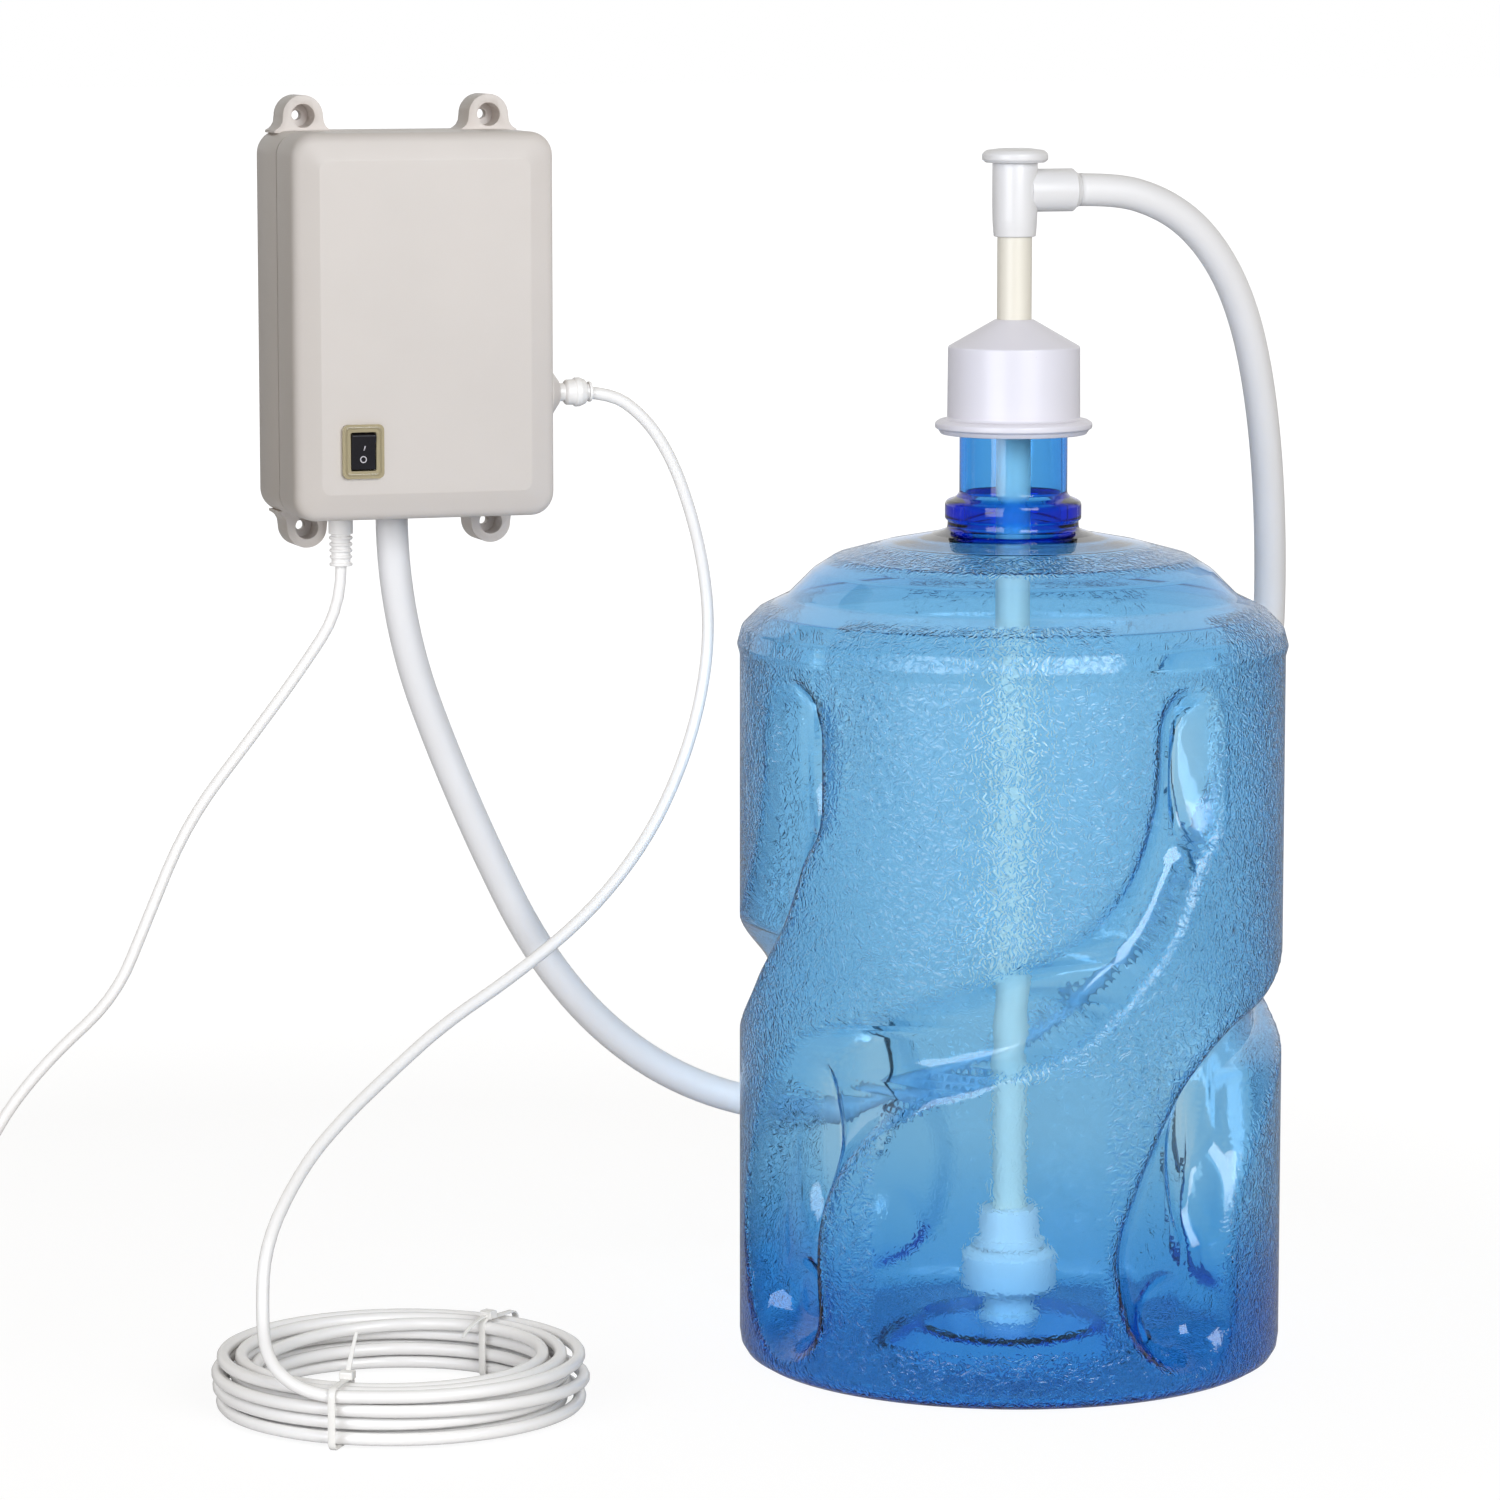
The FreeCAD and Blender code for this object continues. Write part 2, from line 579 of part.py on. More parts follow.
def ear_root(name, x, z):
    """The part of an ear between its round end and the case, which widens where it joins it."""
    inward = -1 if number(z) > 0 else 1
    half = s.ear_width / 2
    sides = [(0, half), (0.45, half + s.ear_flare * 0.1), (0.72, half + s.ear_flare * 0.35),
             (0.88, half + s.ear_flare * 0.65), (1, half + s.ear_flare)]
    outline = [(x + wide, z + s.ear_reach * along * inward) for along, wide in sides]
    outline.append((x + half + s.ear_flare, z + (s.ear_reach + s.case_wall / 2) * inward))
    outline += [(2 * x - across, up) for across, up in reversed(outline)]
    body = doc.addObject("PartDesign::Body", name)
    sketch = sketch_on(body, name + "_outline", "XZ_Plane")
    draw_polygon(sketch, outline)
    pad = body.newObject("PartDesign::Pad", name + "_pad")
    pad.Profile = sketch
    bind(pad, Length=s.ear_depth)
    return body


def back_shell():
    """The open box on the wall, with four fixing ears and four posts for the cover screws."""
    blank = slab("back_blank", s.case_width, s.case_height, s.case_corner, s.back_depth, (0, 0, 0), "-y")
    room = slab("back_room", inner_width, inner_height, inner_corner, s.back_depth,
                (0, -s.case_wall, 0), "-y")
    ears = []
    holes = []
    for count, (x, z) in enumerate(corners_of(ear_x, ear_z)):
        ears.append(rod(f"ear_round_{count}", s.ear_width / 2, s.ear_depth, (x, 0, z), "-y"))
        ears.append(ear_root(f"ear_root_{count}", x, z))
        holes.append(rod(f"ear_hole_{count}", s.wall_screw_hole / 2, s.ear_depth + 2 * OVERRUN,
                         (x, OVERRUN, z), "-y"))
        holes.append(rod(f"ear_recess_{count}", s.ear_recess / 2, s.ear_depth, (x, -s.ear_floor, z), "-y"))
    posts = []
    for count, (x, z) in enumerate(corners_of(boss_x, boss_z)):
        posts.append(rod(f"back_post_{count}", s.boss_radius, s.back_depth - s.case_wall / 2,
                         (x, -s.case_wall / 2, z), "-y"))
        holes.append(rod(f"post_hole_{count}", s.cover_screw_radius + s.fit_gap,
                         s.back_depth + 2 * OVERRUN, (x, OVERRUN, z), "-y"))
        holes.append(rod(f"post_recess_{count}", s.cover_screw_head + s.fit_gap,
                         s.screw_recess + OVERRUN, (x, OVERRUN, z), "-y"))
    case = fuse("back_case", blank, *ears)
    hollow = cut("back_hollow", case, room)
    with_posts = fuse("back_with_posts", hollow, *posts)
    below = -half_height - OVERRUN
    deep = s.case_wall + 2 * OVERRUN
    holes.append(rod("suction_hole", s.gland_radius, deep, (suction_x, s.port_y, below)))
    holes.append(rod("lead_hole", s.relief_radius - s.relief_waist, deep, (lead_x, s.port_y, below)))
    return node(cut("back_shell_piece", with_posts, *holes), "back_shell")


def gasket():
    """The soft seal between the two shells."""
    width = s.case_width - 2 * s.gasket_inset
    height = s.case_height - 2 * s.gasket_inset
    corner = s.case_corner - s.gasket_inset
    ring = slab("gasket_ring", width, height, corner, s.gasket_thickness, (0, -s.back_depth, 0), "-y",
                (inner_width, inner_height, inner_corner))
    return node(ring, "cover_gasket")


def cover_blank(name, inset, shift):
    """Side and bevelled front of the cover, drawn in by the inset on every side."""
    body = doc.addObject("PartDesign::Body", name)
    outline = sketch_on(body, name + "_side_outline", "XY_Plane")
    width = s.case_width - 2 * inset
    height = s.case_height - 2 * inset
    draw_rounded_rectangle(outline, width, height, s.case_corner - inset)
    side = body.newObject("PartDesign::Pad", name + "_side")
    side.Profile = outline
    bind(side, Length=s.cover_side - shift)
    rim = sketch_on(body, name + "_rim", "XY_Plane", s.cover_side - shift)
    draw_rounded_rectangle(rim, width, height, s.case_corner - inset)
    panel = sketch_on(body, name + "_panel", "XY_Plane", s.cover_side + s.bevel_depth - shift)
    draw_rounded_rectangle(panel, width - 2 * s.bevel_width, height - 2 * s.bevel_width, s.panel_corner)
    bevel = body.newObject("PartDesign::AdditiveLoft", name + "_bevel")
    bevel.Profile = rim
    bevel.Sections = [panel]
    bevel.Ruled = True
    return body


def front_cover():
    """The deep front shell: a bevelled face, a pad for the outlet fitting and four screw posts."""
    base_y = -(s.back_depth + s.gasket_thickness)
    outer = put(cover_blank("cover_outer", 0, 0), (0, base_y, 0), "-y")
    inner = put(cover_blank("cover_inner", s.case_wall, s.case_wall), (0, base_y, 0), "-y")
    pad = turned("outlet_pad", [
        (0, -s.case_wall / 2), (s.outlet_pad_radius, -s.case_wall / 2),
        (s.outlet_pad_radius, 0), (s.outlet_pad_top, s.outlet_pad_height), (0, s.outlet_pad_height),
    ], (half_width, s.outlet_y, outlet_z), "x")
    posts = []
    holes = []
    pilot_depth = s.cover_screw_length + s.case_wall + 1 - s.back_depth - s.gasket_thickness
    for count, (x, z) in enumerate(corners_of(boss_x, boss_z)):
        posts.append(rod(f"cover_post_{count}", s.boss_radius, s.cover_side, (x, base_y, z), "-y"))
        holes.append(rod(f"cover_pilot_{count}", s.cover_screw_radius, pilot_depth + 2,
                         (x, base_y, z), "-y"))
    hollow = cut("cover_hollow", outer, inner)
    body = fuse("cover_with_posts", hollow, pad, *posts)
    width = s.switch_width + 2 * s.fit_gap
    height = s.switch_height + 2 * s.fit_gap
    window = block("switch_window", (switch_x - width / 2, front - OVERRUN, switch_z - height / 2),
                   width, s.case_wall + 3 * OVERRUN, height)
    bore = rod("outlet_hole", s.fitting_neck_radius, s.case_wall + s.outlet_pad_height + 2 * OVERRUN,
               (half_width - s.case_wall - OVERRUN, s.outlet_y, outlet_z), "x")
    return node(cut("front_cover_piece", body, window, bore, *holes), "front_cover")


def cover_screws():
    """Four screws that run from the back through the posts into the cover."""
    screws = []
    head_y = s.cover_screw_height - s.screw_recess + 0.5
    for count, (x, z) in enumerate(corners_of(boss_x, boss_z)):
        screws.append(turned(f"cover_screw_{count}", [
            (0, 0), (s.cover_screw_head, 0), (s.cover_screw_head, s.cover_screw_height),
            (s.cover_screw_radius, s.cover_screw_height),
            (s.cover_screw_radius, s.cover_screw_length), (0, s.cover_screw_length),
        ], (x, head_y, z), "-y"))
    return node(group("cover_screw_set", *screws), "cover_screws")


# The rocker switch in the lower left of the cover.

pivot_y = front + 1


def switch():
    """The clipped-in frame and housing, open in front for the rocker."""
    frame = slab("bezel_frame", s.bezel_width, s.bezel_height, 3, s.bezel_thickness,
                 (switch_x, front, switch_z), "-y")
    housing = slab("switch_housing", s.switch_width, s.switch_height, 1.5, s.switch_depth,
                   (switch_x, front + s.switch_depth, switch_z), "-y")
    room_width = s.rocker_width + 2 * s.rocker_gap
    room_height = 2 * (s.rocker_radius + s.rocker_gap)
    room = slab("rocker_room", room_width, room_height, 1, s.switch_depth + s.bezel_thickness,
                (switch_x, front + s.switch_depth - 3, switch_z), "-y")
    pins = []
    for side in (1, -1):
        start = switch_x + side * (s.rocker_width / 2 - 1.5)
        pins.append(rod(f"rocker_pin_{side}", s.rocker_pin, 3, (start, pivot_y, switch_z),
                        "x" if side > 0 else "-x"))
    shell = cut("switch_shell", fuse("switch_blank", frame, housing), room)
    node(fuse("switch_frame_piece", shell, *pins), "switch_frame")
    tabs = []
    for count, z in enumerate((-6, 0, 6)):
        corner = (switch_x - s.tab_width / 2, front + s.switch_depth, switch_z + z - s.tab_thickness / 2)
        tabs.append(block(f"switch_tab_{count}", corner, s.tab_width, s.tab_length, s.tab_thickness))
    node(group("switch_tab_set", *tabs), "switch_terminals")


def rocker():
    """The rocker: ends that are arcs about its pivot, a face in a shallow V, off side pressed."""
    radius = s.rocker_radius
    left = switch_x - s.rocker_width / 2
    barrel = rod("rocker_barrel", radius, s.rocker_width, (left, pivot_y, switch_z), "x")
    valley = s.rocker_valley
    across = s.rocker_width + 2 * OVERRUN
    reach = radius + 2 * OVERRUN
    deep = 2 * reach
    halves = []
    for name, side in (("upper", 1), ("lower", -1)):
        tilt = FreeCAD.Rotation(FreeCAD.Vector(1, 0, 0), (side + 1) * number(s.rocker_tilt))
        trim = block(f"rocker_{name}_face", (0, 0, 0), across, deep, 2 * reach)
        shift = tilt.multVec(vector(0, -deep - valley, -reach))
        put(trim, (left - OVERRUN, pivot_y + shift.y, switch_z + shift.z), tilt)
        halves.append(cut(f"rocker_{name}_half", barrel, trim))
    tail = block("rocker_tail", (left - OVERRUN, pivot_y + s.rocker_back, switch_z - reach),
                 across, deep, 2 * reach)
    bore = rod("rocker_bore", s.rocker_pin + s.fit_gap, across, (left - OVERRUN, pivot_y, switch_z), "x")
    node(cut("rocker_piece", fuse("rocker_body", *halves), tail, bore), "switch_rocker")


# The pump: motor, wobble drive, diaphragm, valves and head, hung in rubber feet on the back shell.

motor_axis = (motor_x, s.motor_y)
motor_top = s.pump_top + s.motor_length
wobble_z = housing_bottom + 13


def motor():
    """Can, end cap, two magnets and two bushes."""
    can_outer = s.motor_radius
    can_inner = s.motor_radius - s.motor_wall
    node(turned("motor_can_piece", [
        (s.bush_radius, 0), (can_outer, 0), (can_outer, s.motor_length), (can_inner, s.motor_length),
        (can_inner, s.motor_wall), (s.bush_radius, s.motor_wall),
    ], (*motor_axis, s.pump_top)), "motor_can")
    node(turned("motor_cap_piece", [
        (s.bush_radius, 0), (can_outer, 0), (can_outer, s.motor_cap - 2), (can_outer - 4, s.motor_cap),
        (s.bush_radius, s.motor_cap),
    ], (*motor_axis, motor_top)), "motor_end_cap")
    ring = turned("magnet_ring", [
        (can_inner - s.magnet_thickness, 0), (can_inner, 0), (can_inner, s.armature_length),
        (can_inner - s.magnet_thickness, s.armature_length),
    ], (*motor_axis, s.pump_top + 12))
    gap = block("magnet_gap", (motor_x - 5, s.motor_y - s.motor_radius, s.pump_top + 11),
                10, 2 * s.motor_radius, s.armature_length + 2)
    node(cut("magnet_pair", ring, gap), "motor_magnets")
    bushes = []
    for name, z in (("lower", s.pump_top), ("upper", motor_top)):
        inner = s.shaft_radius + s.fit_gap
        bushes.append(turned(f"bush_{name}", [
            (inner, 0), (s.bush_radius, 0), (s.bush_radius, s.bush_length), (inner, s.bush_length),
        ], (*motor_axis, z)))
    node(group("bush_pair", *bushes), "motor_bushes")


def rotor():
    """The shaft with its armature and commutator."""
    shaft_bottom = wobble_z + s.hub_foot
    length = motor_top + s.bush_length + 1 - shaft_bottom
    shaft = rod("rotor_shaft", s.shaft_radius, length, (*motor_axis, shaft_bottom))
    stack = rod("armature_stack", s.armature_radius, s.armature_length, (*motor_axis, s.pump_top + 12))
    commutator = rod("commutator", 5, 7, (*motor_axis, motor_top - 8))
    node(fuse("rotor_piece", shaft, stack, commutator), "motor_rotor")


def tilted(name, corners):
    """A turned piece on the inclined axis of the wobble drive."""
    rotation = FreeCAD.Rotation(FreeCAD.Vector(0, 1, 0), number(s.wobble_tilt))
    body = turned(name, corners, (0, 0, 0))
    put(body, (motor_x, s.motor_y, wobble_z), rotation)
    return body


def wobble_drive():
    """The hub on the shaft, the bearing on its inclined journal and the plate with three studs."""
    half = s.bearing_height / 2
    hub_blank = turned("hub_blank", [
        (0, s.hub_foot), (s.hub_radius, s.hub_foot), (s.hub_radius, s.hub_foot + s.hub_height),
        (0, s.hub_foot + s.hub_height),
    ], (*motor_axis, wobble_z))
    shaft_hole = rod("hub_shaft_hole", s.shaft_radius, s.hub_height + 2 * OVERRUN,
                     (*motor_axis, wobble_z + s.hub_foot))
    journal = tilted("hub_journal", [
        (0, -half - 1), (s.journal_radius, -half - 1),
        (s.journal_radius, s.hub_foot + 1), (0, s.hub_foot + 1),
    ])
    hub = fuse("hub_body", hub_blank, journal)
    node(cut("wobble_hub_piece", hub, shaft_hole), "wobble_hub")
    inner = s.journal_radius + s.fit_gap
    node(tilted("wobble_bearing_piece", [
        (inner, -half), (s.bearing_radius, -half), (s.bearing_radius, half), (inner, half),
    ]), "wobble_bearing")
    plate = tilted("plate_disc", [
        (s.bearing_radius, -half), (s.plate_radius, -half), (s.plate_radius, half),
        (s.bearing_radius, half),
    ])
    rotation = FreeCAD.Rotation(FreeCAD.Vector(0, 1, 0), number(s.wobble_tilt))
    studs = []
    for count in range(3):
        angle = math.radians(60 + 120 * count)
        offset = FreeCAD.Vector(number(s.stud_circle) * math.cos(angle),
                                number(s.stud_circle) * math.sin(angle),
                                -number(half) - number(s.stud_length))
        shift = rotation.multVec(offset)
        place = (motor_x + shift.x, s.motor_y + shift.y, wobble_z + shift.z)
        studs.append(rod(f"plate_stud_{count}", s.stud_radius, s.stud_length + 1, place, rotation))
    node(fuse("wobble_plate_piece", plate, *studs), "wobble_plate")


def pump():
    """Housing, diaphragm, valve plate and head, held together by four long screws."""
    square, corner = s.pump_square, s.pump_corner
    half = s.pump_square / 2
    screw = half - s.pump_screw_inset
    spots = [(motor_x + x, s.motor_y + y) for x, y in corners_of(screw, screw)]

    def screw_holes(name, low, height):
        return [rod(f"{name}_{count}", s.pump_screw_radius, height, (*spot, low))
                for count, spot in enumerate(spots)]

    blank = slab("housing_blank", square, square, corner, s.housing_height, (*motor_axis, housing_bottom))
    room = rod("housing_room", half - s.pump_wall, s.housing_height - s.pump_wall + OVERRUN,
               (*motor_axis, housing_bottom - OVERRUN))
    shaft_way = rod("housing_shaft_way", s.bush_radius + 1, s.pump_wall + 2 * OVERRUN,
                    (*motor_axis, s.pump_top - s.pump_wall - OVERRUN))
    holes = screw_holes("housing_hole", housing_bottom - OVERRUN, s.pump_screw_bite + 2 * OVERRUN)
    node(cut("housing_piece", blank, room, shaft_way, *holes), "pump_housing")

    sheet_blank = slab("diaphragm_blank", square, square, corner, s.diaphragm_thickness,
                       (*motor_axis, diaphragm_bottom))
    holes = screw_holes("diaphragm_hole", diaphragm_bottom - OVERRUN, s.diaphragm_thickness + 2 * OVERRUN)
    node(cut("diaphragm_piece", sheet_blank, *holes), "diaphragm")

    valve_blank = slab("valve_blank", square, square, corner, s.valve_height, (*motor_axis, valve_bottom))
    ports = []
    for count in range(3):
        angle = math.radians(60 + 120 * count)
        x = motor_x + s.stud_circle * math.cos(angle)
        y = s.motor_y + s.stud_circle * math.sin(angle)
        ports.append(rod(f"valve_port_{count}", s.valve_port, s.valve_height + 2 * OVERRUN,
                         (x, y, valve_bottom - OVERRUN)))
    holes = screw_holes("valve_hole", valve_bottom - OVERRUN, s.valve_height + 2 * OVERRUN)
    node(cut("valve_piece", valve_blank, *ports, *holes), "valve_plate")

    head_blank = slab("head_blank", square, square, corner, s.head_height, (*motor_axis, head_bottom))
    inlet = rod("inlet_spigot", s.spigot_radius, s.spigot_length + 2,
                (suction_x, s.port_y, head_bottom + 2), "-z")
    outlet = rod("outlet_spigot", s.spigot_radius, s.spigot_length + 2,
                 (motor_x + half - 2, s.outlet_y, outlet_z), "x")
    gallery = rod("head_gallery", half - s.pump_wall - 4, 8, (*motor_axis, valve_bottom - 7))
    bore = s.spigot_radius - 1
    inlet_bore = rod("inlet_bore", bore, s.spigot_length + 14, (suction_x, s.port_y, head_bottom + 12), "-z")
    outlet_bore = rod("outlet_bore", bore, s.spigot_length + 12,
                      (motor_x + half - 10, s.outlet_y, outlet_z), "x")
    holes = screw_holes("head_hole", head_bottom - OVERRUN, s.head_height + 2 * OVERRUN)
    head = fuse("head_body", head_blank, inlet, outlet)
    node(cut("head_piece", head, gallery, inlet_bore, outlet_bore, *holes), "pump_head")

    length = s.head_height + s.valve_height + s.diaphragm_thickness + s.pump_screw_bite
    screws = [turned(f"pump_screw_{count}", [
        (0, -s.pump_screw_head), (s.pump_screw_head, -s.pump_screw_head), (s.pump_screw_head, 0),
        (s.pump_screw_radius, 0), (s.pump_screw_radius, length), (0, length),
    ], (*spot, head_bottom)) for count, spot in enumerate(spots)]
    node(group("pump_screw_set", *screws), "pump_screws")


def pump_support():
    """The bracket behind the pump and the four rubber feet between it and the back shell."""
    behind = s.motor_y + s.pump_square / 2
    middle = housing_bottom + s.housing_height / 2
    half = s.foot_spacing / 2
    plate = s.foot_spacing + 2 * s.foot_radius + 2
    bracket = block("bracket_plate", (motor_x - plate / 2, behind, middle - plate / 2),
                  plate, s.bracket_thickness, plate)
    node(bracket, "pump_bracket")
    length = -s.case_wall - (behind + s.bracket_thickness)
    feet = []
    for count, (x, z) in enumerate(corners_of(half, half)):
        feet.append(turned(f"pump_foot_{count}", [
            (0, 0), (s.foot_radius, 0), (s.foot_radius - s.foot_waist, length / 2),
            (s.foot_radius, length), (0, length),
        ], (motor_x + x, -s.case_wall, middle + z), "-y"))
    node(group("pump_foot_set", *feet), "pump_feet")


def inner_hoses():
    """Short hoses pushed over the spigots of the pump head, the gland and the outlet fitting."""
    gap = 3
    top = head_bottom - gap
    bottom = -half_height + s.case_wall + s.gland_height + gap
    node(turned("inlet_hose_piece", [
        (s.spigot_radius, 0), (s.inner_hose_radius, 0), (s.inner_hose_radius, top - bottom),
        (s.spigot_radius, top - bottom),
    ], (suction_x, s.port_y, bottom)), "inlet_hose")
    left = motor_x + s.pump_square / 2 + gap
    right = half_width - s.case_wall - s.locknut_height - gap
    node(turned("outlet_hose_piece", [
        (s.spigot_radius, 0), (s.inner_hose_radius, 0), (s.inner_hose_radius, right - left),
        (s.spigot_radius, right - left),
    ], (left, s.outlet_y, outlet_z), "x"), "outlet_hose")


def pressure_switch():
    """The switch under the pump head, with its plunger and spring."""
    outer, inner = s.pressure_radius, s.pressure_radius - s.pressure_wall
    low = head_bottom - s.pressure_length
    spot = (motor_x + s.pressure_offset, s.motor_y)
    node(turned("pressure_body", [
        (0, 0), (outer, 0), (outer, s.pressure_length), (s.plunger_radius + s.fit_gap, s.pressure_length),
        (s.plunger_radius + s.fit_gap, s.pressure_length - 3), (inner, s.pressure_length - 3),
        (inner, s.pressure_wall), (0, s.pressure_wall),
    ], (*spot, low)), "pressure_switch")
    stem_low = low + s.pressure_wall + s.plunger_travel + 1
    node(turned("plunger_body", [
        (0, 0), (s.plunger_radius, 0), (s.plunger_radius, 8), (s.plunger_radius + 2, 8),
        (s.plunger_radius + 2, 9.5), (s.plunger_radius, 9.5), (s.plunger_radius, 15), (0, 15),
    ], (*spot, stem_low)), "pressure_plunger")
    inside = s.plunger_radius + 0.5
    length = stem_low + 8 - low - s.pressure_wall
    node(turned("spring_body", [
        (inside, 0), (inside + 1.2, 0), (inside + 1.2, length), (inside, length),
    ], (*spot, low + s.pressure_wall)), "plunger_spring")


def electrics():
    """The power board on its posts and the parts on it."""
    board_back = -s.case_wall - s.board_gap
    left = s.case_wall + s.board_inset - half_width
    width = motor_x - s.pump_square / 2 - s.board_side_gap - left
    low = half_height - s.case_wall - s.board_drop - s.board_height
    middle_x = left + width / 2
    middle_z = low + s.board_height / 2
    node(block("board_plate", (left, board_back - s.board_thickness, low),
               width, s.board_thickness, s.board_height), "power_board")
    posts = []
    for count, (x, z) in enumerate(corners_of(width / 2 - 4, s.board_height / 2 - 4)):
        posts.append(rod(f"board_post_{count}", 3, s.board_gap,
                         (middle_x + x, -s.case_wall, middle_z + z), "-y"))
    node(group("board_post_set", *posts), "board_posts")
    face = board_back - s.board_thickness
    core_width, core_depth, core_height = s.transformer_width, s.transformer_depth, s.transformer_height
    core = block("transformer_core", (middle_x - core_width / 2, face - core_depth, middle_z),
                 core_width, core_depth, core_height)
    sunk, proud = 2, 4
    corner = (middle_x - core_width / 2 + proud, face - core_depth + sunk, middle_z - proud)
    bobbin = block("transformer_bobbin", corner, core_width - 2 * proud, core_depth - 2 * sunk,
                   core_height + 2 * proud)
    node(fuse("transformer_piece", core, bobbin), "transformer")
    cans = []
    for side in (1, -1):
        place = (middle_x + side * (s.capacitor_radius + 1.5), face, middle_z - s.transformer_height / 2 - 6)
        cans.append(rod(f"capacitor_{side}", s.capacitor_radius, s.capacitor_height, place, "-y"))
    node(group("capacitor_pair", *cans), "capacitors")


# The outlet fitting on the right side and the suction gland in the bottom of the case.

pad_face = half_width + s.outlet_pad_height
fitting_length = (s.fitting_neck_length + s.fitting_body_length + s.fitting_ridge_length
                  + s.fitting_nose_length)
fitting_front = pad_face + fitting_length
tube_stop = fitting_front - s.collet_length - s.collet_travel


def outlet_fitting():
    """The push-in fitting, its nut and the release collet that the tube passes through."""
    at = (pad_face, s.outlet_y, outlet_z)
    tube = s.tube_diameter / 2 + s.fit_gap
    neck_end = s.fitting_neck_length
    body_end = neck_end + s.fitting_body_length
    ridge_end = body_end + s.fitting_ridge_length
    collet_bore = s.collet_radius + s.fit_gap
    inside = -(s.outlet_pad_height + s.case_wall)
    stem_end = inside - s.locknut_height - s.spigot_length
    seat = fitting_length - s.collet_length - s.collet_travel - s.collet_end_gap
    node(turned("fitting_body_piece", [
        (s.spigot_radius - 1, stem_end), (s.spigot_radius, stem_end),
        (s.spigot_radius, inside - s.locknut_height), (s.fitting_neck_radius, inside - s.locknut_height),
        (s.fitting_neck_radius, neck_end), (s.fitting_body_radius, neck_end),
        (s.fitting_body_radius, body_end), (s.fitting_ridge_radius, body_end),
        (s.fitting_ridge_radius, ridge_end), (s.fitting_nose_radius, fitting_length),
        (collet_bore, fitting_length), (collet_bore, seat),
        (s.spigot_radius - 1, seat),
    ], at, "x"), "outlet_fitting")
    node(turned("locknut_piece", [
        (s.fitting_neck_radius, 0), (s.locknut_radius, 0), (s.locknut_radius, s.locknut_height),
        (s.fitting_neck_radius, s.locknut_height),
    ], (half_width - s.case_wall - s.locknut_height, s.outlet_y, outlet_z), "x"), "outlet_locknut")
    node(turned("collet_piece", [
        (tube, -s.collet_length), (s.collet_radius, -s.collet_length), (s.collet_radius, s.collet_travel),
        (s.collet_flange_radius, s.collet_travel),
        (s.collet_flange_radius, s.collet_travel + s.collet_flange_length),
        (tube, s.collet_travel + s.collet_flange_length),
    ], (fitting_front, s.outlet_y, outlet_z), "x"), "outlet_collet")


def suction_gland():
    """The bulkhead that the suction hose and the inner hose both meet."""
    bottom = -half_height
    node(turned("gland_piece", [
        (s.spigot_radius - 1, 0), (s.gland_radius - s.fit_gap, 0),
        (s.gland_radius - s.fit_gap, s.case_wall), (s.gland_flange_radius, s.case_wall),
        (s.gland_flange_radius, s.case_wall + s.gland_height),
        (s.spigot_radius, s.case_wall + s.gland_height),
        (s.spigot_radius, s.case_wall + s.gland_height + s.gland_spigot_length),
        (s.spigot_radius - 1, s.case_wall + s.gland_height + s.gland_spigot_length),
    ], (suction_x, s.port_y, bottom)), "suction_gland")


def strain_relief():
    """The relief that the mains lead leaves the case through: a collar with ribs under it."""
    bottom = -half_height
    bore = s.lead_diameter / 2
    ribs = int(number(s.relief_ribs))
    pitch = (s.relief_length - s.relief_collar) / ribs
    waist = s.relief_radius - s.relief_waist
    lip = s.relief_radius + s.relief_lip
    corners = [(bore, s.case_wall + 2 * s.relief_lip), (lip, s.case_wall + 2 * s.relief_lip),
               (lip, s.case_wall), (waist, s.case_wall), (waist, 0), (s.relief_radius, 0)]
    for rib in range(ribs):
        top = -(s.relief_collar + pitch * rib)
        outer = s.relief_radius - (s.relief_radius - s.relief_tip_radius) * ((rib + 1) / ribs)
        corners.append((corners[-1][0], top))
        corners.append((outer - s.relief_groove, top))
        corners.append((outer - s.relief_groove, top - pitch * 0.45))
        corners.append((outer, top - pitch * 0.45))
    corners.append((corners[-1][0], -s.relief_length))
    corners.append((bore, -s.relief_length))
    node(turned("relief_piece", corners, (lead_x, s.port_y, bottom)), "strain_relief")


# The bottle, its cap and the suction wand that stands in it.

wand_axis = (s.bottle_x, s.bottle_y)
neck_start = s.shoulder_height + s.neck_rise
bottle_height = neck_start + s.neck_length
tee_bottom = bottle_height + s.tee_rise


# The dome over the shoulder band: inward from the side of the bottle, and up from the band.
DOME = [(1, 12), (10, 21), (23, 28), (36, 41), (46, 47), (72, 54)]


# A grip runs up the side of the bottle in an S. Its middle line is given in degrees round the
# bottle and in height, and the four grips are turned copies of it, by so many degrees.
GRIP_LINE = [(-56, 76), (-53, 112), (-38, 157), (-5, 189), (20, 221), (36, 273), (39.6, 310)]
GRIP_POCKET_ANGLE = -57.5
GRIP_TURNS = (-111, -203, -14, 71.5)


def beside_bottle(angle, away, height):
    turn = math.radians(angle)
    return vector(s.bottle_x + away * math.cos(turn), s.bottle_y + away * math.sin(turn), floor + height)


